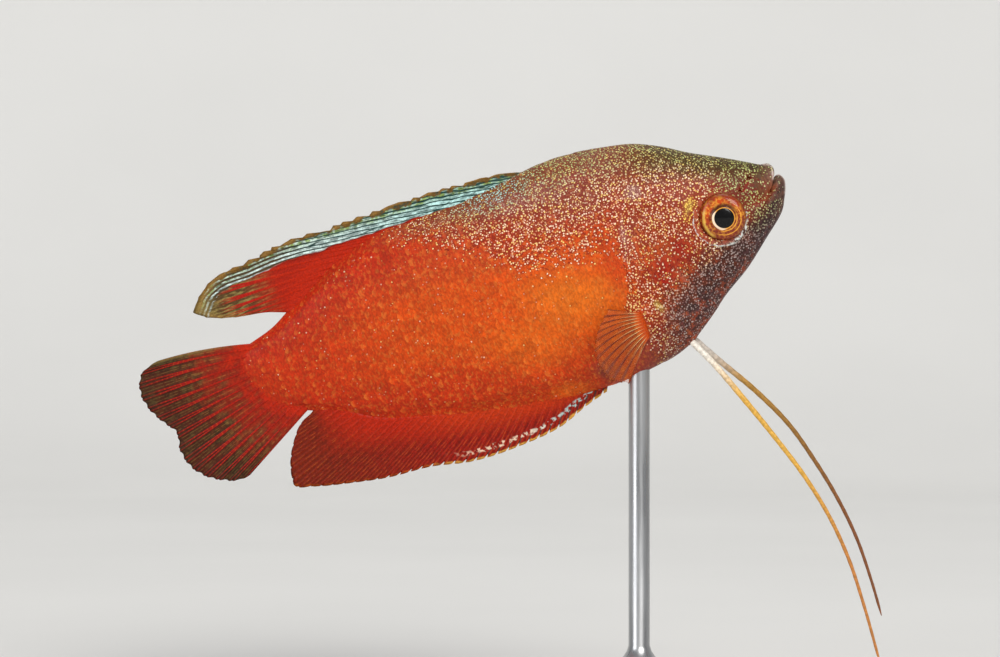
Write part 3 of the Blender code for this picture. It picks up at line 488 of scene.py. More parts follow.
class Paint:
    """A material, painted one layer over another by nodes."""

    def __init__(self, name, roughness, gloss=0.5, coat=0.0, coat_roughness=0.1):
        self.material = bpy.data.materials.new(name)
        self.material.use_nodes = True
        self.tree = self.material.node_tree
        self.shader = self.tree.nodes["Principled BSDF"]
        self.shader.inputs["Roughness"].default_value = roughness
        self.shader.inputs["Specular IOR Level"].default_value = gloss
        self.shader.inputs["Coat Weight"].default_value = coat
        self.shader.inputs["Coat Roughness"].default_value = coat_roughness

    def node(self, kind, **settings):
        made = self.tree.nodes.new("ShaderNode" + kind)
        for setting, value in settings.items():
            setattr(made, setting, value)
        return made

    def feed(self, socket, value):
        """Joins an output to a socket, or sets it to a number or colour."""
        if isinstance(value, bpy.types.NodeSocket):
            self.tree.links.new(value, socket)
        elif socket.type == "RGBA":
            socket.default_value = (*value[:3], 1.0)
        else:
            socket.default_value = value

    def number(self, operation, *values, clamp=False):
        made = self.node("Math", operation=operation, use_clamp=clamp)
        for socket, value in zip(made.inputs, values):
            self.feed(socket, value)
        return made.outputs[0]

    def between(self, value, low, high, first=0.0, last=1.0):
        """Goes smoothly from first to last while the value goes from low to high."""
        made = self.node("MapRange", interpolation_type="SMOOTHSTEP")
        for name, number in (("Value", value), ("From Min", low), ("From Max", high),
                             ("To Min", first), ("To Max", last)):
            self.feed(made.inputs[name], number)
        return made.outputs["Result"]

    def cover(self, under, over, mask):
        """Paints one colour over another where the mask is 1."""
        made = self.node("Mix", data_type="RGBA")
        self.feed(made.inputs[0], mask)
        self.feed(made.inputs[6], under)
        self.feed(made.inputs[7], over)
        return made.outputs[2]

    def shade(self, under, factor):
        """The colour made lighter or darker by a factor."""
        made = self.node("VectorMath", operation="SCALE")
        self.feed(made.inputs[0], under)
        self.feed(made.inputs["Scale"], factor)
        return made.outputs[0]

    def attribute(self, name):
        return self.node("Attribute", attribute_name=name).outputs["Fac"]

    def body_place(self):
        """Places in the body frame, in millimetres."""
        where = self.node("Mapping", vector_type="TEXTURE")
        self.feed(where.inputs["Vector"], self.node("TexCoord").outputs["Object"])
        where.inputs["Location"].default_value = SNOUT
        where.inputs["Rotation"].default_value = (0.0, -PITCH, 0.0)
        where.inputs["Scale"].default_value = (MM, MM, MM)
        return where.outputs["Vector"]

    def axis(self, place, letter):
        made = self.node("SeparateXYZ")
        self.feed(made.inputs[0], place)
        return made.outputs[letter]

    def grain(self, place, per_mm, detail=2.0, stretch=None):
        """Soft random grain, from 0 to 1."""
        if stretch:
            place = self.stretched(place, stretch)
        made = self.node("TexNoise")
        self.feed(made.inputs["Vector"], place)
        made.inputs["Scale"].default_value = per_mm
        made.inputs["Detail"].default_value = detail
        return made.outputs["Fac"]

    def stretched(self, place, factors, turn=0.0):
        made = self.node("Mapping")
        self.feed(made.inputs["Vector"], place)
        made.inputs["Rotation"].default_value = (0.0, turn, 0.0)
        made.inputs["Scale"].default_value = factors
        return made.outputs["Vector"]

    def wobbled(self, place, per_mm, reach):
        """The place moved about a little, so that what is painted by it has soft, natural borders."""
        noise = self.node("TexNoise")
        self.feed(noise.inputs["Vector"], place)
        noise.inputs["Scale"].default_value = per_mm
        centred = self.node("VectorMath", operation="SUBTRACT")
        self.feed(centred.inputs[0], noise.outputs["Color"])
        centred.inputs[1].default_value = (0.5, 0.5, 0.5)
        moved = self.node("VectorMath", operation="MULTIPLY_ADD")
        self.feed(moved.inputs[0], centred.outputs[0])
        moved.inputs[1].default_value = (reach, reach, reach)
        self.feed(moved.inputs[2], place)
        return moved.outputs[0]

    def spot(self, place, centre, reach, turn=0.0, inner=0.15):
        """1 in the middle of an oval of the side view, fading to 0 at its rim."""
        made = self.node("Mapping", vector_type="TEXTURE")
        self.feed(made.inputs["Vector"], place)
        made.inputs["Location"].default_value = (centre[0], 0.0, centre[1])
        made.inputs["Rotation"].default_value = (0.0, math.radians(turn), 0.0)
        made.inputs["Scale"].default_value = (reach[0], 1e6, reach[1])
        away = self.node("VectorMath", operation="LENGTH")
        self.feed(away.inputs[0], made.outputs["Vector"])
        return self.between(away.outputs["Value"], 1.0, inner)

    def grains(self, place, per_mm, share):
        """Packed round grains of skin. Gives the middles of the share of grains that show, each as
        pale as its own number makes it, the dark rings round them, and another number of each."""
        cells = self.node("TexVoronoi")
        self.feed(cells.inputs["Vector"], place)
        cells.inputs["Scale"].default_value = per_mm
        away = cells.outputs["Distance"]
        own = self.node("SeparateColor")
        self.feed(own.inputs[0], cells.outputs["Color"])
        shows = self.between(self.number("SUBTRACT", own.outputs["Red"], share), 0.05, -0.05)
        pale = self.number("MULTIPLY", shows, self.between(own.outputs["Blue"], 0.05, 0.85, 0.3, 1.0))
        middle = self.number("MULTIPLY", self.between(away, 0.5, 0.26), pale)
        ring = self.number("MULTIPLY", self.between(away, 0.38, 0.54), self.between(away, 0.95, 0.75))
        return middle, self.number("MULTIPLY", ring, shows), own.outputs["Green"]

    def bump(self, height, reach_mm, strength=1.0):
        """Raises the surface by the height times a reach in millimetres."""
        made = self.node("Bump")
        made.inputs["Strength"].default_value = strength
        made.inputs["Distance"].default_value = reach_mm * MM
        self.feed(made.inputs["Height"], height)
        self.feed(self.shader.inputs["Normal"], made.outputs["Normal"])

    def base(self, painted):
        self.feed(self.shader.inputs["Base Color"], painted)

    def roughness(self, value):
        self.feed(self.shader.inputs["Roughness"], value)


def colours():
    return bpy.context.scene.gourami_colours


def sizes():
    return bpy.context.scene.gourami_sizes


# Soft ovals of paint: colour, centre and reach in the side view, turn, strength.
FLANK_SPOTS = (
    ("amber", (-26.0, -3.2), (8.5, 4.6), 22, 0.8),
    ("amber", (-31.5, -6.4), (8.5, 4.4), 8, 0.4),
    ("upper_flank", (-20.2, -0.5), (2.6, 6.0), 8, 0.6),
    ("mauve", (-22.0, 7.8), (9.5, 4.6), -4, 0.8),
    ("mauve", (-32.0, 8.8), (7.5, 3.0), 0, 0.6),
    ("fleck_grey", (-27.0, 9.6), (8.0, 2.8), -2, 0.55),
    ("fleck_green", (-30.5, 10.9), (5.0, 1.3), 0, 0.5),
    ("amber", (-29.5, -12.6), (3.6, 1.4), 10, 0.4),
    ("breast", (-25.2, -12.0), (2.6, 1.5), 22, 0.8),
    # Painted light: this amber oval lightens the flank where the pectoral fin casts its shadow.
    ("amber", (-23.5, -9.0), (2.6, 3.0), 0, 0.4),
    ("tail_red", (-43.0, -7.8), (13.0, 4.6), 4, 0.5),
)
HEAD_SPOTS = (
    ("cheek", (-10.2, -5.4), (6.0, 3.4), -32, 0.95),
    ("crimson", (-16.2, -4.2), (2.9, 3.2), 10, 0.9),
    ("rose", (-17.8, 0.5), (0.8, 5.0), 15, 0.45),
    ("flank", (-18.0, -6.2), (2.2, 2.6), 0, 0.5),
    # Chin oval: the lower head's purple-grey, deepened in part as painted shade.
    ("chin", (-13.6, -8.4), (4.6, 3.2), -20, 0.9),
    ("halo", (-12.0, -4.0), (3.4, 2.0), -35, 0.35),
    ("rose", (-13.9, -5.6), (0.42, 2.8), -8, 0.7),
    ("crimson", (-13.4, -2.2), (2.4, 3.0), 6, 0.75),
    ("snout", (-4.2, 1.8), (5.2, 4.6), 10, 0.9),
    ("crown", (-6.2, 4.6), (6.0, 2.5), 28, 0.9),
    ("lips", (-0.9, 2.2), (1.9, 2.6), 0, 0.85),
    ("lips", (-1.0, -1.0), (0.8, 2.8), 38, 0.6),
    ("lips", (-0.35, 1.1), (0.6, 0.9), 0, 0.7),
    ("dark_halo", (-4.8, 2.8), (4.0, 2.8), 24, 0.28),
    ("crimson", (-4.8, 1.6), (0.8, 0.5), 20, 0.75),
    ("crimson", (-3.8, 2.2), (1.4, 0.35), -35, 0.6),
    ("rose", (-16.0, 5.5), (1.2, 1.3), 0, 0.6),
    ("lip_rim", (-16.0, 5.4), (1.2, 1.3), 0, 0.45),
    ("lip_rim", (-18.6, 1.4), (0.55, 3.4), 13, 0.38),
    ("fleck_grey", (-18.5, 9.4), (4.6, 2.4), 8, 0.22),
    ("gold", (-10.9, 1.8), (0.65, 1.3), 32, 0.95),
    ("gold", (-17.5, -7.3), (0.7, 0.8), 10, 0.85),
)
# Places where pale flecks crowd: centre and reach in the side view, turn, share of flecks that show.
BRIGHT_PLACES = (
    ((-16.0, 5.5), (1.3, 1.4), 0, 1.0),
    ((-18.7, 0.8), (0.6, 2.4), 13, 0.9),
    ((-19.7, -3.6), (0.5, 2.2), 16, 0.6),
    ((-20.3, -6.0), (1.1, 1.5), 0, 1.0),
    ((-30.0, 10.8), (6.5, 1.5), 0, 1.0),
    ((-5.5, -2.6), (1.3, 0.55), -48, 0.9),
    ((-3.6, -0.7), (1.0, 1.6), -40, 0.8),
    ((-12.4, -3.4), (0.8, 0.9), 0, 0.8),
    ((-10.9, 1.6), (1.0, 1.9), 32, 0.9),
)


def orbit_rings(paint, place):
    """The thin pale dashes under the eye and the smooth flesh inside them, as two masks."""
    still = paint.node("VectorMath", operation="MULTIPLY")
    paint.feed(still.inputs[0], place)
    still.inputs[1].default_value = (1.0, 0.0, 1.0)
    made = paint.node("VectorMath", operation="DISTANCE")
    paint.feed(made.inputs[0], still.outputs[0])
    made.inputs[1].default_value = (ORBIT_CENTRE[0], 0.0, ORBIT_CENTRE[1])
    away = paint.number("SUBTRACT", made.outputs["Value"], ORBIT_RADIUS)
    below = paint.between(paint.number("SUBTRACT", paint.axis(place, "X"), paint.axis(place, "Z")), -5.2, -3.2)
    width = paint.between(below, 0.0, 1.0, 0.13, 0.3)
    line = paint.between(paint.number("ABSOLUTE", away), width, 0.02)
    dashes = paint.between(paint.grain(place, 3.4, 3.0), 0.4, 0.56)
    low = paint.between(paint.axis(place, "Z"), 1.6, 0.4)
    strength = paint.between(below, 0.0, 1.0, 0.85, 1.0)
    line = paint.number("MULTIPLY", paint.number("MULTIPLY", line, dashes), paint.number("MULTIPLY", low, strength))
    flesh = paint.between(paint.number("ABSOLUTE", paint.number("ADD", away, 0.3)), 0.42, 0.2)
    return line, flesh


def body_paint():
    """The skin's and the scales' colours, flecks and fine bumps."""
    c = colours()
    paint = Paint("gourami_skin", roughness=0.5, gloss=0.16, coat=0.04, coat_roughness=0.2)
    exact = paint.body_place()
    place = paint.wobbled(exact, 0.55, 1.4)
    x = paint.axis(place, "X")
    level = paint.attribute("level")
    ragged = paint.number("ADD", level, paint.between(paint.grain(exact, 0.9), 0.2, 0.8, -0.07, 0.07))

    shown = paint.cover(c.flank, c.upper_flank, paint.between(ragged, 0.12, 0.6))
    shown = paint.cover(shown, c.lower_flank, paint.between(ragged, -0.3, -0.95))
    for name, centre, reach, turn, strength in FLANK_SPOTS:
        mask = paint.number("MULTIPLY", paint.spot(place, centre, reach, turn), strength)
        shown = paint.cover(shown, getattr(c, name), mask)
    rear = paint.number("MULTIPLY", paint.between(x, -38.0, -58.0), 0.8)
    shown = paint.cover(shown, c.tail_red, rear)
    below_fin = paint.number("MULTIPLY", paint.between(ragged, 0.35, 0.8), paint.between(x, -35.0, -46.0))
    shown = paint.cover(shown, c.tail_red, paint.number("MULTIPLY", below_fin, 0.85))
    back = paint.number("MULTIPLY", paint.between(ragged, 0.72, 0.97), paint.between(x, -47.0, -30.0))
    shown = paint.cover(shown, c.back, back)

    on_head = paint.between(x, -19.6, -15.5)
    shown = paint.cover(shown, c.head, paint.number("MULTIPLY", on_head, 0.85))
    crown = paint.number("MULTIPLY", paint.between(ragged, 0.42, 0.86), paint.between(x, -22.0, -10.0))
    shown = paint.cover(shown, c.crown, crown)
    low = paint.number("MULTIPLY", paint.between(ragged, -0.5, -0.85), paint.between(x, -27.0, -17.0))
    shown = paint.cover(shown, c.breast, low)
    # Painted shade in part: the lower head, where it turns under, is laid over with the chin's darker purple-grey.
    chin = paint.number("MULTIPLY", paint.between(ragged, -0.1, -0.75), paint.between(x, -15.0, -9.0))
    shown = paint.cover(shown, c.chin, chin)
    for name, centre, reach, turn, strength in HEAD_SPOTS:
        mask = paint.number("MULTIPLY", paint.spot(place, centre, reach, turn), strength)
        shown = paint.cover(shown, getattr(c, name), mask)

    rust = paint.number("MULTIPLY", paint.between(paint.grain(exact, 1.0, 3.0), 0.46, 0.62), on_head)
    rust = paint.number("MULTIPLY", rust, paint.between(x, -4.0, -8.0))
    shown = paint.cover(shown, c.head, paint.number("MULTIPLY", rust, paint.between(ragged, 0.3, -0.1, 0.0, 0.5)))
    mottle = paint.between(paint.grain(exact, 1.1, 3.0), 0.3, 0.7, 0.92, 1.08)
    shown = paint.shade(shown, mottle)
    threads = paint.between(paint.grain(exact, 2.6, 3.0, (1.2, 1.0, 0.8)), 0.5, 0.66)
    on_body = paint.number("MULTIPLY", paint.between(x, -12.0, -20.0, 0.08, 0.36), paint.between(x, -62.0, -40.0, 0.5, 1.0))
    threads = paint.number("MULTIPLY", threads, on_body)
    shown = paint.cover(shown, c.tan, threads)
    fibres = paint.grain(exact, 3.6, 2.0, (1.3, 1.0, 0.8))
    shown = paint.shade(shown, paint.between(fibres, 0.32, 0.68, 0.8, 1.16))
    # Painted highlights on the scales: pale tan crescents along the hind edges of the trunk's scales, and all hind
    # edges made up to 10% lighter with everything else 3% darker, for light caught by the edges.
    on_trunk = paint.between(x, -20.0, -25.0)
    edges = paint.number("MULTIPLY", paint.between(paint.attribute("rim"), 0.2, 0.9), on_trunk)
    edges = paint.number("MULTIPLY", edges, paint.between(paint.grain(exact, 0.9, 3.0), 0.36, 0.64, 0.0, 0.4))
    shown = paint.cover(shown, c.tan, edges)
    shown = paint.shade(shown, paint.between(paint.attribute("rim"), 0.0, 1.0, 0.97, 1.1))
    shown = paint.shade(shown, paint.number("ADD", paint.attribute("tone"), 1.0))
    # Painted light: the downward-facing underside of the belly behind the pectoral fin is made up to 12% lighter, to
    # lift its shade.
    painted_belly_light = paint.number("MULTIPLY", paint.between(level, -0.75, -0.98, 0.0, 0.12), paint.between(x, -24.0, -32.0))
    shown = paint.shade(shown, paint.number("ADD", painted_belly_light, 1.0))
    shown = paint.cover(shown, c.lip_rim, paint.attribute("lip"))
    dashes, flesh = orbit_rings(paint, paint.wobbled(exact, 1.6, 0.3))
    flesh = paint.number("MULTIPLY", flesh, paint.between(paint.grain(exact, 1.6, 2.0), 0.35, 0.6, 0.2, 0.9))
    shown = paint.cover(shown, c.rose, paint.number("MULTIPLY", flesh, 0.55))

    # Pale grains pack the head and the upper front flank, and thin out below and behind.
    behind = paint.number("ADD", paint.between(x, -28.0, -40.0, 0.0, 0.55), paint.between(x, -38.0, -48.0, 0.0, 0.55))
    edge = paint.number("SUBTRACT", level, behind)
    crowd = paint.between(edge, -0.05, 0.58, 0.0, 1.3)
    clusters = paint.between(paint.grain(exact, 0.85, 1.0), 0.34, 0.6, 0.7, 1.15)
    crowd = paint.number("MULTIPLY", crowd, clusters)
    heart = paint.attribute("heart")
    crowd = paint.number("MULTIPLY", crowd, paint.number("ADD", heart, 1.0))
    sparse = paint.between(level, -0.9, -0.1, 0.0, 0.014)
    crowd = paint.number("MAXIMUM", crowd, sparse)
    on_cheek = paint.number("MULTIPLY", paint.between(x, -20.4, -18.8), paint.between(level, -1.0, -0.5, 0.6, 1.1))
    crowd = paint.number("MAXIMUM", crowd, on_cheek)
    crowd = paint.number("MULTIPLY", crowd, paint.between(paint.spot(place, (-17.8, -0.6), (0.9, 4.4), 15), 0.0, 1.0, 1.0, 0.45))
    red_middle = paint.spot(place, (-14.6, -3.2), (4.2, 3.8), 10, 0.5)
    crowd = paint.number("MULTIPLY", crowd, paint.between(red_middle, 0.0, 1.0, 1.0, 0.4))
    for centre, reach, turn, strength in BRIGHT_PLACES:
        mask = paint.number("MULTIPLY", paint.spot(place, centre, reach, turn, 0.4), strength * 1.6)
        crowd = paint.number("MAXIMUM", crowd, mask)
    smooth_snout = paint.number("MAXIMUM", paint.spot(place, (-1.0, 1.3), (3.2, 3.4), 10, 0.4), flesh)
    crowd = paint.number("MULTIPLY", crowd, paint.between(smooth_snout, 0.0, 1.0, 1.0, 0.2))
    dots, rings, own = paint.grains(exact, 4.2, crowd)
    cool = paint.number("MAXIMUM", crown, paint.number("MULTIPLY", paint.between(ragged, -0.2, -0.5), on_head))
    ring_colour = paint.cover(c.halo, c.dark_halo, cool)
    shown = paint.cover(shown, ring_colour, paint.number("MULTIPLY", rings, 0.7))
    tint = paint.cover(c.fleck_white, c.gold, paint.between(own, 0.35, 0.9, 0.0, 0.85))
    green = paint.number("MULTIPLY", paint.between(ragged, 0.58, 0.92), paint.between(x, -42.0, -30.0))
    tint = paint.cover(tint, c.fleck_green, paint.number("MULTIPLY", green, paint.between(own, 0.85, 0.6, 0.4, 0.9)))
    bluish = paint.number("MULTIPLY", paint.spot(place, (-30.5, 10.6), (7.0, 2.5)), paint.between(own, 0.9, 0.6))
    tint = paint.cover(tint, c.fin_turquoise, bluish)
    # On the lower head the flecks turn a dimmer grey, partly their own colour and partly painted shade.
    grey = paint.number("MULTIPLY", paint.between(ragged, -0.3, -0.6), on_head)
    tint = paint.cover(tint, c.fleck_grey, grey)
    olive = paint.number("MULTIPLY", paint.spot(place, (-4.2, 1.4), (5.4, 5.4), 10, 0.5), 0.75)
    tint = paint.cover(tint, c.fleck_green, olive)
    golden = paint.number("MAXIMUM", paint.spot(place, (-10.9, 1.6), (1.0, 1.9), 32, 0.6),
                          paint.number("MULTIPLY", paint.spot(place, (-20.1, -5.8), (1.5, 1.6), 0, 0.6), 0.5))
    tint = paint.cover(tint, c.gold, golden)
    shown = paint.cover(shown, tint, dots)
    shown = paint.cover(shown, c.fleck_blue, dashes)
    paint.base(shown)

    paint.roughness(paint.between(dots, 0.0, 1.0, 0.5, 0.25))
    height = paint.number("ADD", paint.number("MULTIPLY", dots, 0.6), paint.grain(exact, 3.2, 2.0))
    paint.bump(height, 0.05, 0.8)
    return paint.material


def skin_material():
    """The one material of skin and scales."""
    return bpy.data.materials.get("gourami_skin") or body_paint()


LIP_RIMS = (
    ((-1.4, 3.55), (-0.85, 3.3), (-0.6, 2.85), (-0.75, 2.2), (-0.9, 1.6)),
    ((-0.4, 1.95), (0.1, 1.75), (0.32, 1.2), (0.2, 0.4), (-0.1, -0.3)),
)
AROUND = 300
SKIN_ROWS = ((0.0, 5.4, 60), (5.4, 13.6, 70), (13.6, 23.0, 62))
FLANK_ROWS = 100
TAIL_ROWS = 14
SKIN_INSET = 0.05


def even_turns(count):
    """Turns all the way round, closer together on the sides than on the back and belly."""
    turn = np.linspace(0.0, 2 * math.pi, count + 1)
    return turn + 0.2 * np.sin(2 * turn)


class GOURAMI_OT_skin(bpy.types.Operator):
    """Builds one closed skin over head, gill covers, torso and tail stalk"""

    bl_idname = "gourami.skin"
    bl_label = "Skin"

    def execute(self, context):
        turns = even_turns(AROUND)
        ends = run_at_edge(SCALE_PARTING, turns)
        runs = [np.full(len(turns), run) for first, last, count in SKIN_ROWS
                for run in np.linspace(first, last, count, endpoint=False)]
        body_start = SKIN_ROWS[-1][1]
        runs += [body_start + (ends - body_start) * share for share in np.linspace(0.0, 1.0, FLANK_ROWS)]
        runs += [ends + TAIL_OVERLAP * share for share in np.arange(1, TAIL_ROWS + 1) / TAIL_ROWS]
        run = np.array(runs)
        turn = np.broadcast_to(turns, run.shape)
        inset = -SKIN_INSET * smooth_step(run, 16.0, 22.0)
        points = finished_skin(run, turn, inset)
        points[..., 1] += sway(points[..., 0])
        throat = np.broadcast_to(points[0].mean(axis=0), (1, *points[0].shape))
        points = np.concatenate([throat, points])
        level = np.cos(turn)
        level = np.concatenate([level[:1], level])
        lip = np.zeros_like(level)
        for line in LIP_RIMS:
            away = distance_to(points[..., 0], points[..., 2], line)
            lip = np.maximum(lip, 0.9 * np.exp(-((away / 0.13) ** 2)))
        bm = grid_of(points, {"level": level, "lip": lip})
        bmesh.ops.remove_doubles(bm, verts=bm.verts, dist=1e-5)
        nodes = ("head", "gill_cover_left", "gill_cover_right", "torso", "tail")
        add_piece(bm, "skin", skin_material(), nodes)
        return {"FINISHED"}


def scale_form(along, across):
    """A bmesh of one scale from -1 to 1 each way, with a rounded hind edge, a thickness and a floor."""
    bm = bmesh.new()
    bmesh.ops.create_grid(bm, x_segments=along, y_segments=across, size=1.0)
    for v in bm.verts:
        a, b = v.co.x, v.co.y
        v.co.x = a - (0.42 if a > 0 else 0.12) * b * b * abs(a)
        v.co.y = b * (1.0 - 0.22 * max(a, 0.0) ** 3 - 0.12 * max(-a, 0.0))
    border = [e for e in bm.edges if e.is_boundary]
    grown = bmesh.ops.extrude_edge_only(bm, edges=border)
    rim = [v for v in grown["geom"] if isinstance(v, bmesh.types.BMVert)]
    bmesh.ops.translate(bm, vec=(0.0, 0.0, -1.0), verts=rim)
    floor = [e for e in bm.edges if e.is_boundary]
    bmesh.ops.contextual_create(bm, geom=floor)
    bmesh.ops.recalc_face_normals(bm, faces=bm.faces)
    form = bpy.data.meshes.new("scale_form")
    bm.to_mesh(form)
    bm.free()
    return form


SCALE_FACES = (5, 4)
UNWRAP = 0.012
PATCH = 0.003
TURN_SAMPLES = 241


def scale_roots(first_run, last_run, spacing, width_at, wanted):
    """Places for scales in staggered columns, as (run, turn, turn for one mm, spacing, width)."""
    roots = []
    turns = np.linspace(0.0, math.pi, TURN_SAMPLES)
    run = first_run
    column = 0
    while run < last_run:
        points = bare_skin(np.full(TURN_SAMPLES, run), turns)
        walked = np.concatenate([[0.0], np.cumsum(np.linalg.norm(np.diff(points, axis=0), axis=1))])
        middle = walked[TURN_SAMPLES // 2]
        width = width_at(points[TURN_SAMPLES // 2, 0])
        for row in range(-20, 21):
            at = middle + (row + 0.5 * (column % 2)) * width
            if not 0.3 * width < at < walked[-1] - 0.3 * width:
                continue
            turn = np.interp(at, walked, turns)
            x, _, z = bare_skin(run, turn)
            if wanted(x, z, turn):
                rate = np.interp(turn, turns, np.gradient(turns, walked))
                roots.append((run, turn, rate, spacing, width))
        run += spacing
        column += 1
    return roots


def lay_scales(name, roots, side, lift, seed):
    """One joined mesh of scales over one side of the skin."""
    form = scale_form(*SCALE_FACES)
    shape = np.array([v.co for v in form.vertices])
    count = len(shape)
    rng = np.random.default_rng(seed)
    bm = bmesh.new()
    for _ in roots:
        bm.from_mesh(form)
    bpy.data.meshes.remove(form)
    run, turn, rate, spacing, width = (np.array(part)[:, None] for part in zip(*roots))
    jitter = rng.normal(0.0, 1.0, (len(roots), 4))
    along = shape[None, :, 0] * spacing * 0.78 * (1 + 0.04 * jitter[:, :1])
    across = shape[None, :, 1] * width * 0.6 * (1 + 0.04 * jitter[:, 1:2])
    skew = 0.05 * jitter[:, 2:3]
    at_run = run + along + across * skew + 0.03 * jitter[:, 3:4]
    at_turn = turn + (across - along * skew) * rate
    hind = np.clip(shape[:, 0], -1.0, 1.0)[None, :]
    crown = 1 - 0.55 * np.clip(shape[:, 1], -1.0, 1.0)[None, :] ** 2
    flat = lift * (0.25 + 0.75 * smooth_step(run, 64.0, 44.0)) * (0.5 + 0.5 * smooth_step(np.cos(turn), -1.0, -0.5))
    rise = flat * (0.42 + 0.62 * hind) * crown - 0.02
    below = shape[None, :, 2] < -0.5
    rise = np.where(below, -0.22, rise)
    points = finished_skin(at_run, at_turn, rise)
    points[..., 1] = points[..., 1] * side + sway(points[..., 0])
    level = np.cos(at_turn)
    # rim: 1 along the scale's hind edge, where the skin's paint lays a painted highlight.
    rim = smooth_step(hind - 0.35 * (shape[:, 1] ** 2)[None, :], 0.25, 1.0) * np.ones_like(at_run)
    tone = np.broadcast_to(0.05 * rng.normal(0.0, 1.0, (len(roots), 1)), at_run.shape)
    middle_off = (shape[:, 0] - 0.35) ** 2 / 0.3 + shape[:, 1] ** 2 / 0.45
    heart = np.broadcast_to(1.1 * np.exp(-middle_off) - 0.45, at_run.shape)
    numbers = {"level": level, "rim": rim, "tone": tone, "heart": heart}
    layers = [(bm.verts.layers.float.new(word), values.ravel()) for word, values in numbers.items()]
    for corner, (v, place) in enumerate(zip(bm.verts, points.reshape(-1, 3))):
        v.co = place
        for layer, values in layers:
            v[layer] = values[corner]
    bm.verts.index_update()
    unwrap = bm.loops.layers.uv.new("OFBake")
    roots_u = run[:, 0] * UNWRAP
    roots_v = turn[:, 0] / (2 * math.pi) + (0.5 if side < 0 else 0.0)
    for face in bm.faces:
        for loop in face.loops:
            scale, corner = divmod(loop.vert.index, count)
            loop[unwrap].uv = (
                roots_u[scale] + shape[corner, 0] * PATCH / 2,
                roots_v[scale] + shape[corner, 1] * PATCH / 2,
            )
    scales = add_piece(bm, name, skin_material(), ())
    scales.data.set_sharp_from_angle(angle=math.radians(45))
    return scales


def body_scale_here(x, z, turn):
    """Whether a body scale grows at a place of the side view."""
    behind_gill = x < edge_x(GILL_PARTING, z) + 0.9
    before_fin = x > edge_x(SCALE_PARTING, z) + 0.3
    pectoral_root = math.hypot(x + 20.0, (z + 8.6) / 1.8) < 1.0
    return behind_gill and before_fin and not pectoral_root


def head_scale_here(x, z, turn):
    """Whether a scale of the head grows at a place of the side view."""
    if x < edge_x(GILL_PARTING, z) + 0.9:
        return False
    nape = z > 3.2 and x < -9.0 - 0.5 * max(9.0 - z, 0.0) + 1.0
    cheek = x < -10.9 and z < 3.6 and math.cos(turn) > -0.82
    below_eye = x < -6.6 and z < -3.9 - 0.2 * (x + 10.0) and math.cos(turn) > -0.8
    return nape or cheek or below_eye


class GOURAMI_OT_scales(bpy.types.Operator):
    """Lays overlapping scales over the body and the hind part of the head"""

    bl_idname = "gourami.scales"
    bl_label = "Scales"

    def execute(self, context):
        s = sizes()

        def width_at(x):
            return s.scale_width * (1 - 0.22 * smooth_step(-x, 44.0, 60.0))

        def head_width_at(x):
            return s.scale_width * s.head_scale

        body = scale_roots(17.0, 64.0, s.scale_length, width_at, body_scale_here)
        head = scale_roots(9.2, 23.0, s.scale_length * s.head_scale, head_width_at, head_scale_here)
        for side, word in ((1, "left"), (-1, "right")):
            lay_scales("body_scales_" + word, body, side, s.scale_lift, 11 + side)
            lay_scales("head_scales_" + word, head, side, s.scale_lift * 0.6, 31 + side)
        return {"FINISHED"}


EYE_RADIUS = 2.7
EYE_DEPTH = 1.6
EYE_CENTRE_BELOW_SKIN = 0.98
EYE_DOME = 0.36
EYE_RIM_BELOW_SKIN = 0.1
LENS_RADIUS = 1.25
LENS_HEIGHT = 0.14
PUPIL_CENTRE = (-7.62, -0.66)
PUPIL_RADIUS = 1.09


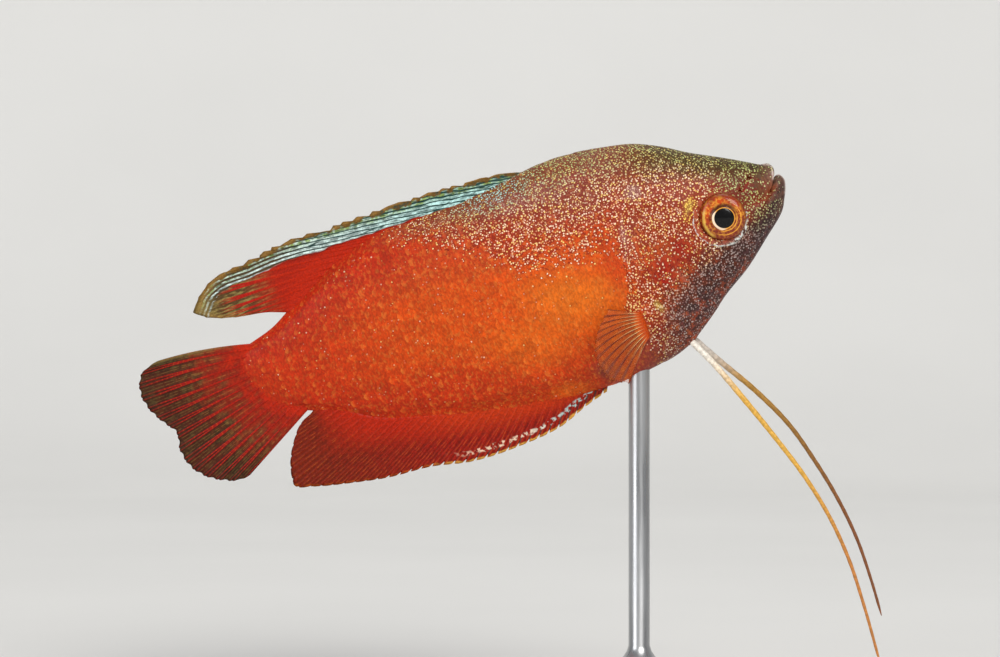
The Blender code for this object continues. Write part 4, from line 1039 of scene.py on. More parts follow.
def eye_paint():
    """Black pupil, a gold ring round it that widens and turns white on its lower back side as a painted highlight,
    orange iris with gold flecks and a dark rim, under a clear gloss.
    """
    c = colours()
    paint = Paint("gourami_eye", roughness=0.3, gloss=0.12, coat=0.35, coat_roughness=0.04)
    place = paint.body_place()
    x = paint.axis(place, "X")
    z = paint.axis(place, "Z")

    def away_from_pupil(source):
        flat = paint.node("VectorMath", operation="MULTIPLY")
        paint.feed(flat.inputs[0], source)
        flat.inputs[1].default_value = (1.0, 0.0, 1.0)
        made = paint.node("VectorMath", operation="DISTANCE")
        paint.feed(made.inputs[0], flat.outputs[0])
        made.inputs[1].default_value = (PUPIL_CENTRE[0], 0.0, PUPIL_CENTRE[1])
        return made.outputs["Value"]

    away = away_from_pupil(place)
    rough_away = away_from_pupil(paint.wobbled(place, 2.2, 0.2))
    high = paint.between(z, -1.6, 0.6)

    flecks = paint.between(paint.grain(place, 3.2, 3.0), 0.46, 0.62)
    flecks = paint.number("MULTIPLY", flecks, paint.between(z, -2.4, 0.2, 0.25, 0.8))
    shown = paint.cover(c.iris_dark, c.iris, high)
    shown = paint.cover(shown, c.iris_gold, flecks)
    red = paint.between(paint.grain(place, 1.3, 1.0), 0.5, 0.68)
    shown = paint.cover(shown, c.iris_dark, paint.number("MULTIPLY", red, 0.55))
    front_low = paint.between(paint.number("SUBTRACT", x, z), -7.4, -5.9)
    rings = paint.number("SINE", paint.number("MULTIPLY", rough_away, 14.5))
    rings = paint.number("MULTIPLY", paint.between(rings, 0.5, 0.95), front_low)
    rings = paint.number("MULTIPLY", rings, paint.between(rough_away, 2.25, 2.05))
    shown = paint.cover(shown, c.iris_gold, paint.number("MULTIPLY", rings, 0.85))
    back_rim = paint.number("MULTIPLY", paint.between(x, -9.0, -9.6), paint.between(rough_away, 2.0, 2.2))
    back_rim = paint.number("MULTIPLY", back_rim, paint.between(rough_away, 2.45, 2.3))
    shown = paint.cover(shown, c.gold, paint.number("MULTIPLY", back_rim, 0.7))
    front_dark = paint.between(paint.number("ADD", x, z), -6.3, -5.2)
    shown = paint.cover(shown, c.halo, paint.number("MULTIPLY", front_dark, 0.6))
    dusk = paint.between(away, 2.1, 2.6)
    shown = paint.cover(shown, c.cheek, paint.number("MULTIPLY", dusk, 0.5))
    inner = paint.number("MULTIPLY", paint.between(away, 1.8, 1.4), high)
    shown = paint.cover(shown, c.pupil, paint.number("MULTIPLY", inner, 0.85))
    # The pupil's gold ring widens towards the back; on its lower back side it turns white, a painted highlight.
    backwards = paint.number("MULTIPLY_ADD", z, 0.2, x)
    crescent_highlight = paint.between(backwards, -8.0, -8.5)
    width = paint.between(backwards, -7.8, -8.9, 0.07, 0.22)
    ring = paint.between(paint.number("SUBTRACT", away, width), PUPIL_RADIUS + 0.04, PUPIL_RADIUS)
    ring_colour = paint.cover(c.iris_gold, c.fleck_white, crescent_highlight)
    shown = paint.cover(shown, ring_colour, ring)
    shown = paint.cover(shown, c.pupil, paint.between(away, PUPIL_RADIUS + 0.03, PUPIL_RADIUS - 0.02))
    paint.base(shown)
    paint.roughness(paint.between(paint.grain(place, 4.0), 0.0, 1.0, 0.25, 0.4))
    paint.bump(paint.grain(place, 3.0, 2.0), 0.03, 0.4)
    return paint.material


class GOURAMI_OT_eyes(bpy.types.Operator):
    """Builds two flattened eyeballs with a raised lens and a grooved iris"""

    bl_idname = "gourami.eyes"
    bl_label = "Eyes"

    def execute(self, context):
        material = eye_paint()
        x, z = EYE_CENTRE
        for side, word in ((1, "left"), (-1, "right")):
            bm = bmesh.new()
            bmesh.ops.create_uvsphere(bm, u_segments=96, v_segments=96, radius=1.0)
            for v in bm.verts:
                if v.co.z > 0:
                    out = math.hypot(v.co.x, v.co.y)
                    lens = LENS_HEIGHT * math.sqrt(max(1.0 - (out * EYE_RADIUS / LENS_RADIUS) ** 2, 0.0))
                    groove = 0.06 * math.exp(-(((out * EYE_RADIUS - LENS_RADIUS - 0.12) / 0.12) ** 2))
                    dome = EYE_DOME * (1 - out * out) - EYE_RIM_BELOW_SKIN * out**6
                    rounding = math.sqrt(max(1.0 - out**16, 0.0))
                    v.co.z = (EYE_CENTRE_BELOW_SKIN + dome + lens - groove) * rounding / EYE_DEPTH
            place = (
                Matrix.Translation((x, side * (skin_y(x, z) - EYE_CENTRE_BELOW_SKIN), z))
                @ Matrix.Rotation(side * EYE_TURN, 4, "Z")
                @ Matrix.Diagonal((EYE_RADIUS, EYE_DEPTH, EYE_RADIUS, 1.0))
                @ Matrix.Rotation(-side * math.pi / 2, 4, "X")
            )
            bmesh.ops.transform(bm, matrix=place, verts=bm.verts)
            add_piece(bm, "eyeball_" + word, material, ("eye_" + word,))
        return {"FINISHED"}


def folded_fin(middle, half, numbers):
    """A closed fin from its middle surface and half-thickness, both as arrays with the root first.
    The grid runs out over one face to the margin and back over the other."""
    along = np.gradient(middle, axis=1)
    out = np.gradient(middle, axis=0)
    across = np.cross(along, out)
    across /= np.maximum(np.linalg.norm(across, axis=-1, keepdims=True), 1e-9)
    near = middle - across * half[..., None]
    far = middle + across * half[..., None]
    points = np.concatenate([near, far[-2::-1]])
    both = {name: np.concatenate([values, values[-2::-1]]) for name, values in numbers.items()}
    bm = grid_of(points, both)
    bmesh.ops.remove_doubles(bm, verts=bm.verts, dist=1e-4)
    return bm


def fin_shares(columns, rows):
    """Shares along the fin's root and out to its margin, as two arrays with the root first."""
    return np.meshgrid(np.linspace(0.0, 1.0, columns), np.linspace(0.0, 1.0, rows))


def fin_half_thickness(s, t, crest, rays, root=0.5, middle=0.2, margin=0.06):
    """Half-thickness of a fin: thick at its root, thin at its margin, raised on its rays."""
    web = np.interp(t, (0.0, 0.3, 1.0), (root, middle, margin))
    rounded = np.sqrt(np.clip(np.minimum(s, 1 - s) * rays * 3, 0.0, 1.0))
    closed = np.sqrt(np.clip((1 - t) * 30, 0.0, 1.0)) * np.clip(t * 60, 0.0, 1.0)
    return (web + sizes().ray_relief * crest) * rounded * closed


def ray_crest(s, t, rays, forks=(), width=0.17):
    """1 on a ray and 0 between rays. Each ray forks in two from each of the given shares out."""
    off = abs(s * (rays - 1) - np.round(s * (rays - 1)))
    for fork, reach in forks:
        off = abs(off - reach * smooth_step(t, fork, 1.0))
    return np.exp(-((off / width) ** 2))


def margin_depth(points, line):
    """Distance from a margin's smooth line, for points of a fin."""
    return abs(distance_to(points[..., 0], points[..., 2], line, 48))


def upright_fin(s, t, root, margin, drawn_in, bow=0.0, teeth=0.0):
    """Middle surface of a fin in the fish's middle plane. drawn_in shortens it between the tips, bow
    bends its rays upwards, and teeth sets its margin in, straight across the margin."""
    reach = np.linalg.norm(margin - root, axis=-1)
    t = t * (1 - drawn_in / np.maximum(reach, 1.0))
    tangent = np.gradient(margin, axis=1)
    tangent /= np.maximum(np.linalg.norm(tangent, axis=-1, keepdims=True), 1e-9)
    inward = np.stack((-tangent[..., 1], tangent[..., 0]), axis=-1)
    set_in = teeth * smooth_step(t, 0.3, 1.0)
    flat = root + (margin - root) * t[..., None] + inward * set_in[..., None]
    height = flat[..., 1] + bow * 4 * t * (1 - t)
    return np.stack((flat[..., 0], sway(flat[..., 0]), height), axis=-1)


def back_line(x, sink):
    """Places of the back, a little below the skin."""
    points = bare_skin(SKIN_TO_X - x, np.zeros_like(x))
    return np.stack((points[..., 0], points[..., 2] - sink), axis=-1)


def belly_line(x, sink):
    points = bare_skin(SKIN_TO_X - x, np.full_like(x, math.pi))
    return np.stack((points[..., 0], points[..., 2] + sink), axis=-1)


def dorsal_paint():
    """Turquoise streaks under a golden-brown margin, and red rays in the hind lobe."""
    c = colours()
    paint = Paint("gourami_dorsal_fin", roughness=0.45, gloss=0.14, coat=0.03, coat_roughness=0.2)
    exact = paint.body_place()
    place = paint.wobbled(exact, 0.8, 0.8)
    x = paint.axis(place, "X")
    depth = paint.attribute("depth")
    ray = paint.attribute("ray")
    uneven = paint.between(paint.grain(exact, 1.2, 2.0, (0.35, 1.0, 1.0)), 0.25, 0.75, -0.15, 0.15)
    d = paint.number("ADD", depth, uneven)

    calm = paint.number("ADD", depth, paint.number("MULTIPLY", uneven, paint.between(x, -32.0, -42.0, 0.9, 0.35)))
    slanting = paint.number("MULTIPLY_ADD", paint.axis(exact, "X"), -0.1, calm)
    phase = paint.number("MULTIPLY", slanting, 2 * math.pi / 0.42)
    high = paint.between(d, 1.5, 0.8)
    front = paint.between(x, -46.0, -38.0)
    cut = paint.number("MULTIPLY_ADD", paint.number("MULTIPLY", high, front), 0.7, -0.95)
    cut = paint.number("ADD", cut, paint.between(x, -50.0, -57.0, 0.0, 0.8))
    stripe = paint.between(paint.number("SUBTRACT", paint.number("SINE", phase), cut), 0.0, 0.6)
    broken = paint.between(paint.grain(exact, 2.0, 3.0, (0.3, 1.0, 1.5)), 0.28, 0.44)
    stripe = paint.number("MULTIPLY", stripe, broken)
    bluish = paint.cover(c.fin_turquoise, c.fleck_blue, paint.between(x, -34.0, -52.0, 0.1, 0.6))
    green = paint.number("MULTIPLY", high, paint.between(paint.grain(exact, 1.8, 2.0), 0.4, 0.6, 0.3, 1.0))
    bluish = paint.cover(bluish, c.fin_green, green)
    fine = paint.grain(exact, 3.0, 2.0, (0.5, 1.0, 1.5))
    bluish = paint.shade(bluish, paint.between(fine, 0.34, 0.6, 0.42, 1.1))
    between_streaks = paint.cover(c.fin_dark, c.fin_web, paint.between(x, -50.0, -56.0, 0.0, 0.8))
    streaks = paint.cover(between_streaks, bluish, stripe)

    lines = paint.between(ray, 0.35, 0.05)
    red = paint.cover(c.tail_red, c.fin_red, paint.number("MULTIPLY", lines, 0.6))
    red = paint.cover(red, c.tail_red, paint.between(paint.attribute("out"), 0.45, 0.2))
    tips = paint.grain(exact, 2.0, 2.0, (0.4, 1.0, 2.0))
    olive = paint.cover(c.fin_web, c.fin_olive, paint.between(tips, 0.42, 0.66))
    ray_tips = paint.number("MULTIPLY", paint.between(ray, 0.3, 0.7), paint.between(x, -63.5, -60.0))
    outer = paint.cover(olive, c.ray_red, ray_tips)
    red = paint.cover(red, outer, paint.between(x, -55.5, -60.5))
    band = paint.number("ADD", d, paint.between(x, -52.0, -60.0, 0.0, 0.45))
    shade_line = paint.number("MULTIPLY", paint.between(band, 2.5, 2.3), paint.between(x, -58.0, -52.0, 0.0, 0.6))
    red = paint.cover(red, c.fin_deep, shade_line)
    shown = paint.cover(red, streaks, paint.between(band, 2.3, 2.15))
    margin = paint.cover(c.fin_margin, c.fin_dark, paint.between(paint.grain(exact, 1.9, 2.0), 0.5, 0.7, 0.0, 0.7))
    edge = paint.number("ADD", depth, paint.between(paint.grain(exact, 1.0, 2.0), 0.3, 0.7, -0.3, 0.25))
    shown = paint.cover(shown, margin, paint.between(edge, 0.62, 0.4))
    shown = paint.cover(shown, c.fin_gold, paint.number("MULTIPLY", paint.attribute("edge"), 0.6))
    tip = paint.spot(place, (-65.2, 9.4), (3.0, 2.2), -30)
    shown = paint.cover(shown, c.fin_olive, paint.number("MULTIPLY", tip, 0.6))
    paint.base(paint.shade(shown, paint.between(paint.grain(exact, 5.0), 0.3, 0.7, 0.8, 1.16)))
    paint.bump(paint.number("MULTIPLY_ADD", stripe, 0.5, paint.grain(exact, 4.0)), 0.04, 0.7)
    return paint.material


class GOURAMI_OT_dorsal_fin(bpy.types.Operator):
    """Builds the folded dorsal fin with its serrated margin and hind lobe"""

    bl_idname = "gourami.dorsal_fin"
    bl_label = "Dorsal fin"

    def execute(self, context):
        s, t = fin_shares(14 * (DORSAL_RAYS - 1) + 1, 26)
        root = back_line(DORSAL_FROM_X + (DORSAL_TO_X - DORSAL_FROM_X) * s, 1.0)
        out = s**DORSAL_SLANT
        margin = Outline(DORSAL_MARGIN).share(out)
        spine = out * DORSAL_SPINES + 0.3 * np.sin(out * 31.0) + 0.2 * np.sin(out * 73.0)
        tips = 1 - abs(np.mod(spine, 1.0) * 2 - 1)
        spines = smooth_step(out, 0.8, 0.66)
        deep = (0.22 + 0.2 * np.exp(-(((out - 0.45) / 0.2) ** 2)) + 0.13 * np.sin(np.floor(spine) * 2.4)) * spines
        notch = 0.14 * (1 - spines) * (1 - ray_crest(s, t, DORSAL_RAYS)) + 0.8 * smooth_step(out, 0.07, 0.0)
        crest = ray_crest(s, t, DORSAL_RAYS, ((0.4, 0.22),), width=0.13)
        teeth = deep * (1 - tips**1.4) * smooth_step(out, 0.0, 0.12)
        middle = upright_fin(s, t, root, margin, notch, teeth=teeth)
        half = fin_half_thickness(s, t, crest, DORSAL_RAYS)
        depth = margin_depth(middle, DORSAL_MARGIN[:DORSAL_TIP])
        edge = smooth_step(t, 0.9, 1.0)
        bm = folded_fin(middle, half, {"ray": crest, "depth": depth, "out": t, "edge": edge})
        add_piece(bm, "fin_dorsal", dorsal_paint(), ("dorsal_fin",))
        return {"FINISHED"}


def anal_paint():
    """Fine slanted rays on dull red, a turquoise streak inside an orange serrated margin, browner
    behind."""
    c = colours()
    paint = Paint("gourami_anal_fin", roughness=0.45, gloss=0.14, coat=0.03, coat_roughness=0.2)
    exact = paint.body_place()
    place = paint.wobbled(exact, 0.8, 0.6)
    x = paint.axis(place, "X")
    depth = paint.attribute("depth")
    ray = paint.attribute("ray")
    out = paint.attribute("out")
    webs = paint.number("MULTIPLY", paint.between(ray, 0.25, 0.03), paint.between(out, 0.15, 0.7, 0.1, 0.6))
    shown = paint.cover(c.fin_red, c.fin_deep, webs)
    hind = paint.between(x, -42.0, -60.0)
    shown = paint.cover(shown, c.fin_brown, paint.number("MULTIPLY", hind, 0.55))
    broken = paint.between(paint.grain(exact, 1.5, 2.0), 0.42, 0.62)
    lines = paint.number("MULTIPLY", paint.between(ray, 0.7, 0.98), broken)
    shown = paint.cover(shown, c.tan, paint.number("MULTIPLY", lines, 0.26))
    blotches = paint.between(paint.grain(exact, 0.7, 3.0, (1.0, 1.0, 0.6)), 0.5, 0.7)
    shown = paint.cover(shown, c.fin_deep, paint.number("MULTIPLY", blotches, 0.25))
    at_root = paint.cover(c.lower_flank, c.tail_red, paint.between(x, -40.0, -50.0))
    shown = paint.cover(shown, at_root, paint.between(out, 0.65, 0.05, 0.0, 0.9))
    front = paint.between(x, -45.5, -40.0)
    uneven = paint.between(paint.grain(exact, 1.1, 2.0), 0.2, 0.8, -0.15, 0.15)
    d = paint.number("ADD", depth, uneven)
    gaps = paint.number("MULTIPLY", paint.between(paint.attribute("finger"), 0.6, 0.3), paint.between(d, 1.0, 0.7))
    shown = paint.cover(shown, c.fin_dark, paint.number("MULTIPLY", paint.number("MULTIPLY", gaps, front), 0.7))
    streak = paint.number("MULTIPLY", paint.between(d, 0.7, 0.85), paint.between(d, 1.3, 1.1))
    dashes = paint.between(paint.grain(exact, 2.0, 2.0), 0.46, 0.58)
    streak = paint.number("MULTIPLY", paint.number("MULTIPLY", streak, dashes), front)
    pale = paint.cover(c.fleck_white, c.fin_turquoise, paint.between(x, -38.0, -30.0))
    shown = paint.cover(shown, pale, paint.number("MULTIPLY", streak, 0.75))
    tips = paint.number("MULTIPLY", paint.between(d, 0.34, 0.12), paint.between(x, -48.0, -43.0))
    shown = paint.cover(shown, c.gold, paint.number("MULTIPLY", tips, 0.6))
    shown = paint.cover(shown, c.amber, paint.number("MULTIPLY", paint.between(d, 0.3, 0.1), 0.3))
    paint.base(paint.shade(shown, paint.between(paint.grain(exact, 4.5), 0.3, 0.7, 0.78, 1.18)))
    paint.bump(paint.grain(exact, 4.0), 0.04, 0.6)
    return paint.material


class GOURAMI_OT_anal_fin(bpy.types.Operator):
    """Builds the long anal fin with its slanted rays"""

    bl_idname = "gourami.anal_fin"
    bl_label = "Anal fin"

    def execute(self, context):
        s, t = fin_shares(14 * (ANAL_RAYS - 1) + 1, 26)
        root = belly_line(ANAL_FROM_X + (ANAL_TO_X - ANAL_FROM_X) * s, 1.0)
        margin = Outline(ANAL_MARGIN).share(s)
        crest = ray_crest(s, t, ANAL_RAYS, ((0.1, 0.3),), width=0.12)
        off = abs(s * (ANAL_RAYS - 1) - np.round(s * (ANAL_RAYS - 1)))
        finger = smooth_step(off, 0.48, 0.36)
        notch = (1 - finger) * (0.1 + 0.36 * smooth_step(s, 0.64, 0.54)) + 0.12 * off
        middle = upright_fin(s, t, root, margin, notch)
        half = fin_half_thickness(s, t, crest, ANAL_RAYS)
        depth = margin_depth(middle, ANAL_MARGIN[:ANAL_TIP])
        bm = folded_fin(middle, half, {"ray": crest, "depth": depth, "out": t, "finger": finger})
        add_piece(bm, "fin_anal", anal_paint(), ("anal_fin",))
        return {"FINISHED"}


def tail_fin_paint():
    """Forked red rays with dark edges, and olive-brown web with golden threads between them."""
    c = colours()
    paint = Paint("gourami_tail_fin", roughness=0.45, gloss=0.14, coat=0.03, coat_roughness=0.2)
    exact = paint.body_place()
    ray = paint.attribute("ray")
    out = paint.attribute("out")
    web = paint.cover(c.fin_web, c.fin_olive, paint.between(paint.grain(exact, 1.4, 3.0), 0.42, 0.7, 0.0, 0.5))
    web = paint.cover(web, c.fin_red, paint.between(paint.grain(exact, 0.5, 3.0), 0.3, 0.7, 0.05, 0.5))
    dashes = paint.between(paint.grain(exact, 2.2, 3.0), 0.36, 0.56)
    threads = paint.number("MULTIPLY", paint.between(paint.attribute("thread"), 0.3, 0.9), dashes)
    web = paint.cover(web, c.fin_gold, paint.number("MULTIPLY", threads, 0.75))
    edges = paint.number("MULTIPLY", paint.between(ray, 0.02, 0.15), paint.between(ray, 0.45, 0.25))
    web = paint.cover(web, c.dark_halo, paint.number("MULTIPLY", edges, 0.65))
    web = paint.shade(web, paint.between(out, 0.1, 0.85, 0.92, 0.36))
    rays = paint.shade(c.ray_red, paint.between(out, 0.3, 1.0, 0.98, 0.6))
    shown = paint.cover(web, rays, paint.between(ray, 0.22, 0.6))
    joints = paint.number("SINE", paint.number("MULTIPLY", out, 150.0))
    joints = paint.number("MULTIPLY", paint.between(joints, 0.5, 0.95), paint.between(ray, 0.4, 0.9))
    shown = paint.cover(shown, c.amber, paint.number("MULTIPLY", joints, 0.2))
    near_body = paint.number("ADD", out, paint.between(paint.grain(exact, 0.8, 2.0), 0.3, 0.7, -0.1, 0.1))
    shown = paint.cover(shown, c.fin_red, paint.between(near_body, 0.72, 0.22, 0.0, 0.85))
    shown = paint.cover(shown, c.tail_red, paint.between(near_body, 0.35, 0.1))
    faded = paint.between(near_body, 0.76, 1.0)
    shown = paint.cover(shown, web, paint.number("MULTIPLY", faded, 0.6))
    rim = paint.number("MULTIPLY", paint.attribute("upper"), 0.7)
    shown = paint.cover(shown, paint.shade(c.fin_olive, 0.7), rim)
    paint.base(paint.shade(shown, paint.between(paint.grain(exact, 4.0), 0.3, 0.7, 0.78, 1.18)))
    paint.bump(paint.number("MULTIPLY_ADD", joints, 0.4, paint.grain(exact, 4.0)), 0.04, 0.6)
    return paint.material


class GOURAMI_OT_tail_fin(bpy.types.Operator):
    """Builds the tail fin with its forked rays"""

    bl_idname = "gourami.tail_fin"
    bl_label = "Tail fin"

    def execute(self, context):
        s, t = fin_shares(CAUDAL_COLUMNS * (CAUDAL_RAYS - 1) + 1, 44)
        z = CAUDAL_ROOT[0] + (CAUDAL_ROOT[1] - CAUDAL_ROOT[0]) * s
        root = np.stack((edge_x(SCALE_PARTING, z) + 0.6, z), axis=-1)
        margin = Outline(CAUDAL_MARGIN).share(s)
        straight = root + (margin - root) * t[..., None]
        spacing = np.linalg.norm(np.gradient(straight, axis=1), axis=-1) * CAUDAL_COLUMNS
        forks = ((0.35, 0.15),)
        crest = ray_crest(s, t, CAUDAL_RAYS, forks, width=0.09 / spacing)
        thread = ray_crest(s + 0.5 / (CAUDAL_RAYS - 1), t, CAUDAL_RAYS, ((0.2, 0.14),), width=0.05 / spacing)
        tips = ray_crest(s, np.ones_like(t), CAUDAL_RAYS, forks, width=0.2)
        corners = 0.9 * (np.exp(-s / 0.02) + np.exp((s - 1) / 0.02))
        notch = (0.2 * (1 - tips) + corners) * smooth_step(t, 0.4, 1.0)
        middle = upright_fin(s, t, root, margin, notch, 0.42 * smooth_step(s, 0.3, 0.0))
        middle[..., 1] += 0.08 * np.sin(s * 21.0) * smooth_step(t, 0.3, 1.0)
        half = fin_half_thickness(s, t, crest, CAUDAL_RAYS, root=0.4)
        upper = smooth_step(s, 0.035, 0.01) * smooth_step(t, 0.1, 0.5)
        bm = folded_fin(middle, half, {"ray": crest, "thread": thread, "out": t, "upper": upper})
        add_piece(bm, "fin_tail", tail_fin_paint(), ("caudal_fin",))
        return {"FINISHED"}


def pectoral_paint():
    """Thin orange-pink web with dark red rays, painted highlights beside the rays near the root, and a fleshy orange
    root.
    """
    c = colours()
    paint = Paint("gourami_pectoral_fin", roughness=0.4, gloss=0.25, coat=0.05, coat_roughness=0.2)
    exact = paint.body_place()
    ray = paint.attribute("ray")
    out = paint.attribute("out")
    web = paint.cover(c.pectoral, c.amber, paint.between(paint.grain(exact, 1.2), 0.35, 0.7, 0.0, 0.6))
    # Painted highlights: pale gold-white lines beside each ray, fading out towards the margin, for light caught along
    # the rays; they also make the web more solid there.
    beside = paint.between(paint.attribute("beside"), 0.3, 0.9)
    beside = paint.number("MULTIPLY", beside, paint.between(out, 0.65, 0.2))
    pale = paint.cover(c.gold, c.fleck_white, 0.4)
    shown = paint.cover(web, pale, paint.number("MULTIPLY", beside, 0.75))
    shown = paint.cover(shown, c.pectoral_ray, paint.between(ray, 0.35, 0.85))
    shown = paint.cover(shown, c.flank, paint.between(out, 0.2, 0.05))
    paint.base(paint.shade(shown, paint.between(paint.grain(exact, 4.5), 0.3, 0.7, 0.86, 1.12)))
    clear = paint.between(ray, 0.6, 0.2, 0.9, 0.0)
    clear = paint.number("MAXIMUM", clear, paint.between(out, 0.3, 1.0, 0.4, 0.2))
    clear = paint.number("MAXIMUM", clear, paint.number("MULTIPLY", beside, 0.7))
    paint.feed(paint.shader.inputs["Alpha"], paint.number("MAXIMUM", clear, paint.between(out, 0.35, 0.12)))
    paint.bump(paint.grain(exact, 4.0), 0.03, 0.6)
    return paint.material


class GOURAMI_OT_pectoral_fins(bpy.types.Operator):
    """Builds the two fanned pectoral fins"""

    bl_idname = "gourami.pectoral_fins"
    bl_label = "Pectoral fins"

    def execute(self, context):
        material = pectoral_paint()
        s, t = fin_shares(28 * (PECTORAL_RAYS - 1) + 1, 36)
        root = Outline(PECTORAL_ROOT).share(s)
        margin = Outline(PECTORAL_MARGIN).share(s)
        crest = ray_crest(s, t, PECTORAL_RAYS, ((0.35, 0.1),), width=0.05 * (1 + 1.2 * (1 - t)))
        # Where the painted highlight beside each ray lies.
        beside = ray_crest(s + 0.2 / (PECTORAL_RAYS - 1), t, PECTORAL_RAYS, width=0.05 * (1 + 1.5 * (1 - t)))
        notch = 0.16 * (1 - ray_crest(s, t, PECTORAL_RAYS, width=0.3))
        reach = np.linalg.norm(margin - root, axis=-1)
        drawn = t * (1 - notch / np.maximum(reach, 1.0))
        flat = root + (margin - root) * drawn[..., None]
        bow = PECTORAL_BOW * 4 * drawn * (1 - drawn) * np.sin(math.pi * s)
        flat = flat + np.stack((-0.5 * bow, bow), axis=-1)
        start = np.array([skin_y(*place) for place in root[0]])[None, :]
        away = root[..., 0] - flat[..., 0] + 0.35 * (root[..., 1] - flat[..., 1])
        spread = away * math.tan(PECTORAL_SPREAD) * (1 - 0.15 * drawn)
        off_skin = PECTORAL_OFF_SKIN * smooth_step(t, -0.35, 0.12) - 0.45 * smooth_step(t, 0.1, 0.0)
        y = start + off_skin + spread
        half = fin_half_thickness(s, t, crest * 0.6, PECTORAL_RAYS, root=0.42, middle=0.13, margin=0.05)
        for side, word in ((1, "left"), (-1, "right")):
            middle = np.stack((flat[..., 0], side * y, flat[..., 1]), axis=-1)
            bm = folded_fin(middle, half, {"ray": crest, "beside": beside, "out": t})
            add_piece(bm, "fin_pectoral_" + word, material, ("pectoral_fin_" + word,))
        return {"FINISHED"}


def feeler_paint(name, dark):
    """White at the root, then yellow-gold, then orange-brown. With dark set, for the far feeler, it is painted darker
    towards the cheek's brown-red, as shade.
    """
    c = colours()
    paint = Paint(name, roughness=0.42, gloss=0.25, coat=0.05, coat_roughness=0.2)
    exact = paint.body_place()
    along = paint.attribute("along")
    shown = paint.cover(c.feeler_white, c.feeler_yellow, paint.between(along, 0.03, 0.2))
    shown = paint.cover(shown, c.feeler_brown, paint.between(along, 0.35, 0.75))
    # Painted shade: the far feeler, behind the fish, is laid over with the cheek's dark red, 35% at the root and 70%
    # from its middle out.
    if dark:
        shown = paint.cover(shown, c.cheek, paint.between(along, 0.0, 0.5, 0.35, 0.7))
    streaks = paint.between(paint.grain(exact, 3.0, 2.0), 0.3, 0.7, 0.78, 1.15)
    paint.base(paint.shade(shown, streaks))
    paint.roughness(paint.between(paint.grain(exact, 5.0), 0.3, 0.7, 0.3, 0.5))
    paint.bump(paint.grain(exact, 6.0), 0.03, 0.5)
    return paint.material


class GOURAMI_OT_feelers(bpy.types.Operator):
    """Builds the two thread-like feelers"""

    bl_idname = "gourami.feelers"
    bl_label = "Feelers"

    def execute(self, context):
        # The left feeler is on the far side of the fish and is painted as in shade.
        for word, points, dark in (("right", FEELER_RIGHT, False), ("left", FEELER_LEFT, True)):
            line = Outline(points)
            share = np.linspace(-0.012, 1.0, 190)
            middle = line.share(share)
            ahead = np.gradient(middle, axis=0)
            ahead /= np.linalg.norm(ahead, axis=1, keepdims=True)
            side = np.cross(ahead, (0.0, 1.0, 0.0))
            side /= np.linalg.norm(side, axis=1, keepdims=True)
            up = np.cross(side, ahead)
            thick = np.interp(share, (0.0, 0.35, 0.97, 1.0), (1.0, 0.74, 0.42, 0.12))
            thick = thick * sizes().feeler_thick / 2 * (1 + 0.04 * np.sin(share * 160.0))
            turn = np.linspace(0.0, 2 * math.pi, 15)
            ring = side[:, None] * np.cos(turn)[None, :, None] + up[:, None] * np.sin(turn)[None, :, None]
            tube = middle[:, None] + ring * thick[:, None, None]
            along = np.broadcast_to(share[:, None], tube.shape[:2])
            bm = grid_of(tube, {"along": along})
            bmesh.ops.remove_doubles(bm, verts=bm.verts, dist=1e-5)
            bmesh.ops.holes_fill(bm, edges=[e for e in bm.edges if e.is_boundary])
            nodes = tuple(f"feeler_{word}_{part}" for part in ("root", "middle", "tip"))
            material = feeler_paint("gourami_feeler_" + word, dark)
            add_piece(bm, "feeler_thread_" + word, material, nodes)
        return {"FINISHED"}


BASE_SIDES = 160
ROD_THICK = 2.6
ROD_FOOT = 8.0
ROD_FOOT_THICK = 1.2
ROD_SIDES = 48


def stand_paints():
    """A satin lacquer with a fine stipple, and brushed steel."""
    c = colours()
    lacquer = Paint("stand_lacquer", roughness=0.35, coat=0.3, coat_roughness=0.15)
    place = lacquer.node("TexCoord").outputs["Object"]
    stipple = lacquer.grain(place, 2600.0, 3.0)
    lacquer.base(lacquer.shade(c.stand_white, lacquer.between(stipple, 0.3, 0.7, 0.94, 1.03)))
    lacquer.roughness(lacquer.between(lacquer.grain(place, 700.0), 0.3, 0.7, 0.3, 0.42))
    lacquer.bump(stipple, 0.03, 0.4)
    steel = Paint("stand_steel", roughness=0.3)
    steel.shader.inputs["Metallic"].default_value = 1.0
    place = steel.node("TexCoord").outputs["Object"]
    brushed = steel.grain(place, 900.0, 3.0, (1.0, 1.0, 0.06))
    steel.base(steel.shade(c.rod_steel, steel.between(brushed, 0.3, 0.7, 0.86, 1.06)))
    steel.roughness(steel.between(brushed, 0.3, 0.7, 0.24, 0.42))
    steel.bump(brushed, 0.02, 0.4)
    return lacquer.material, steel.material


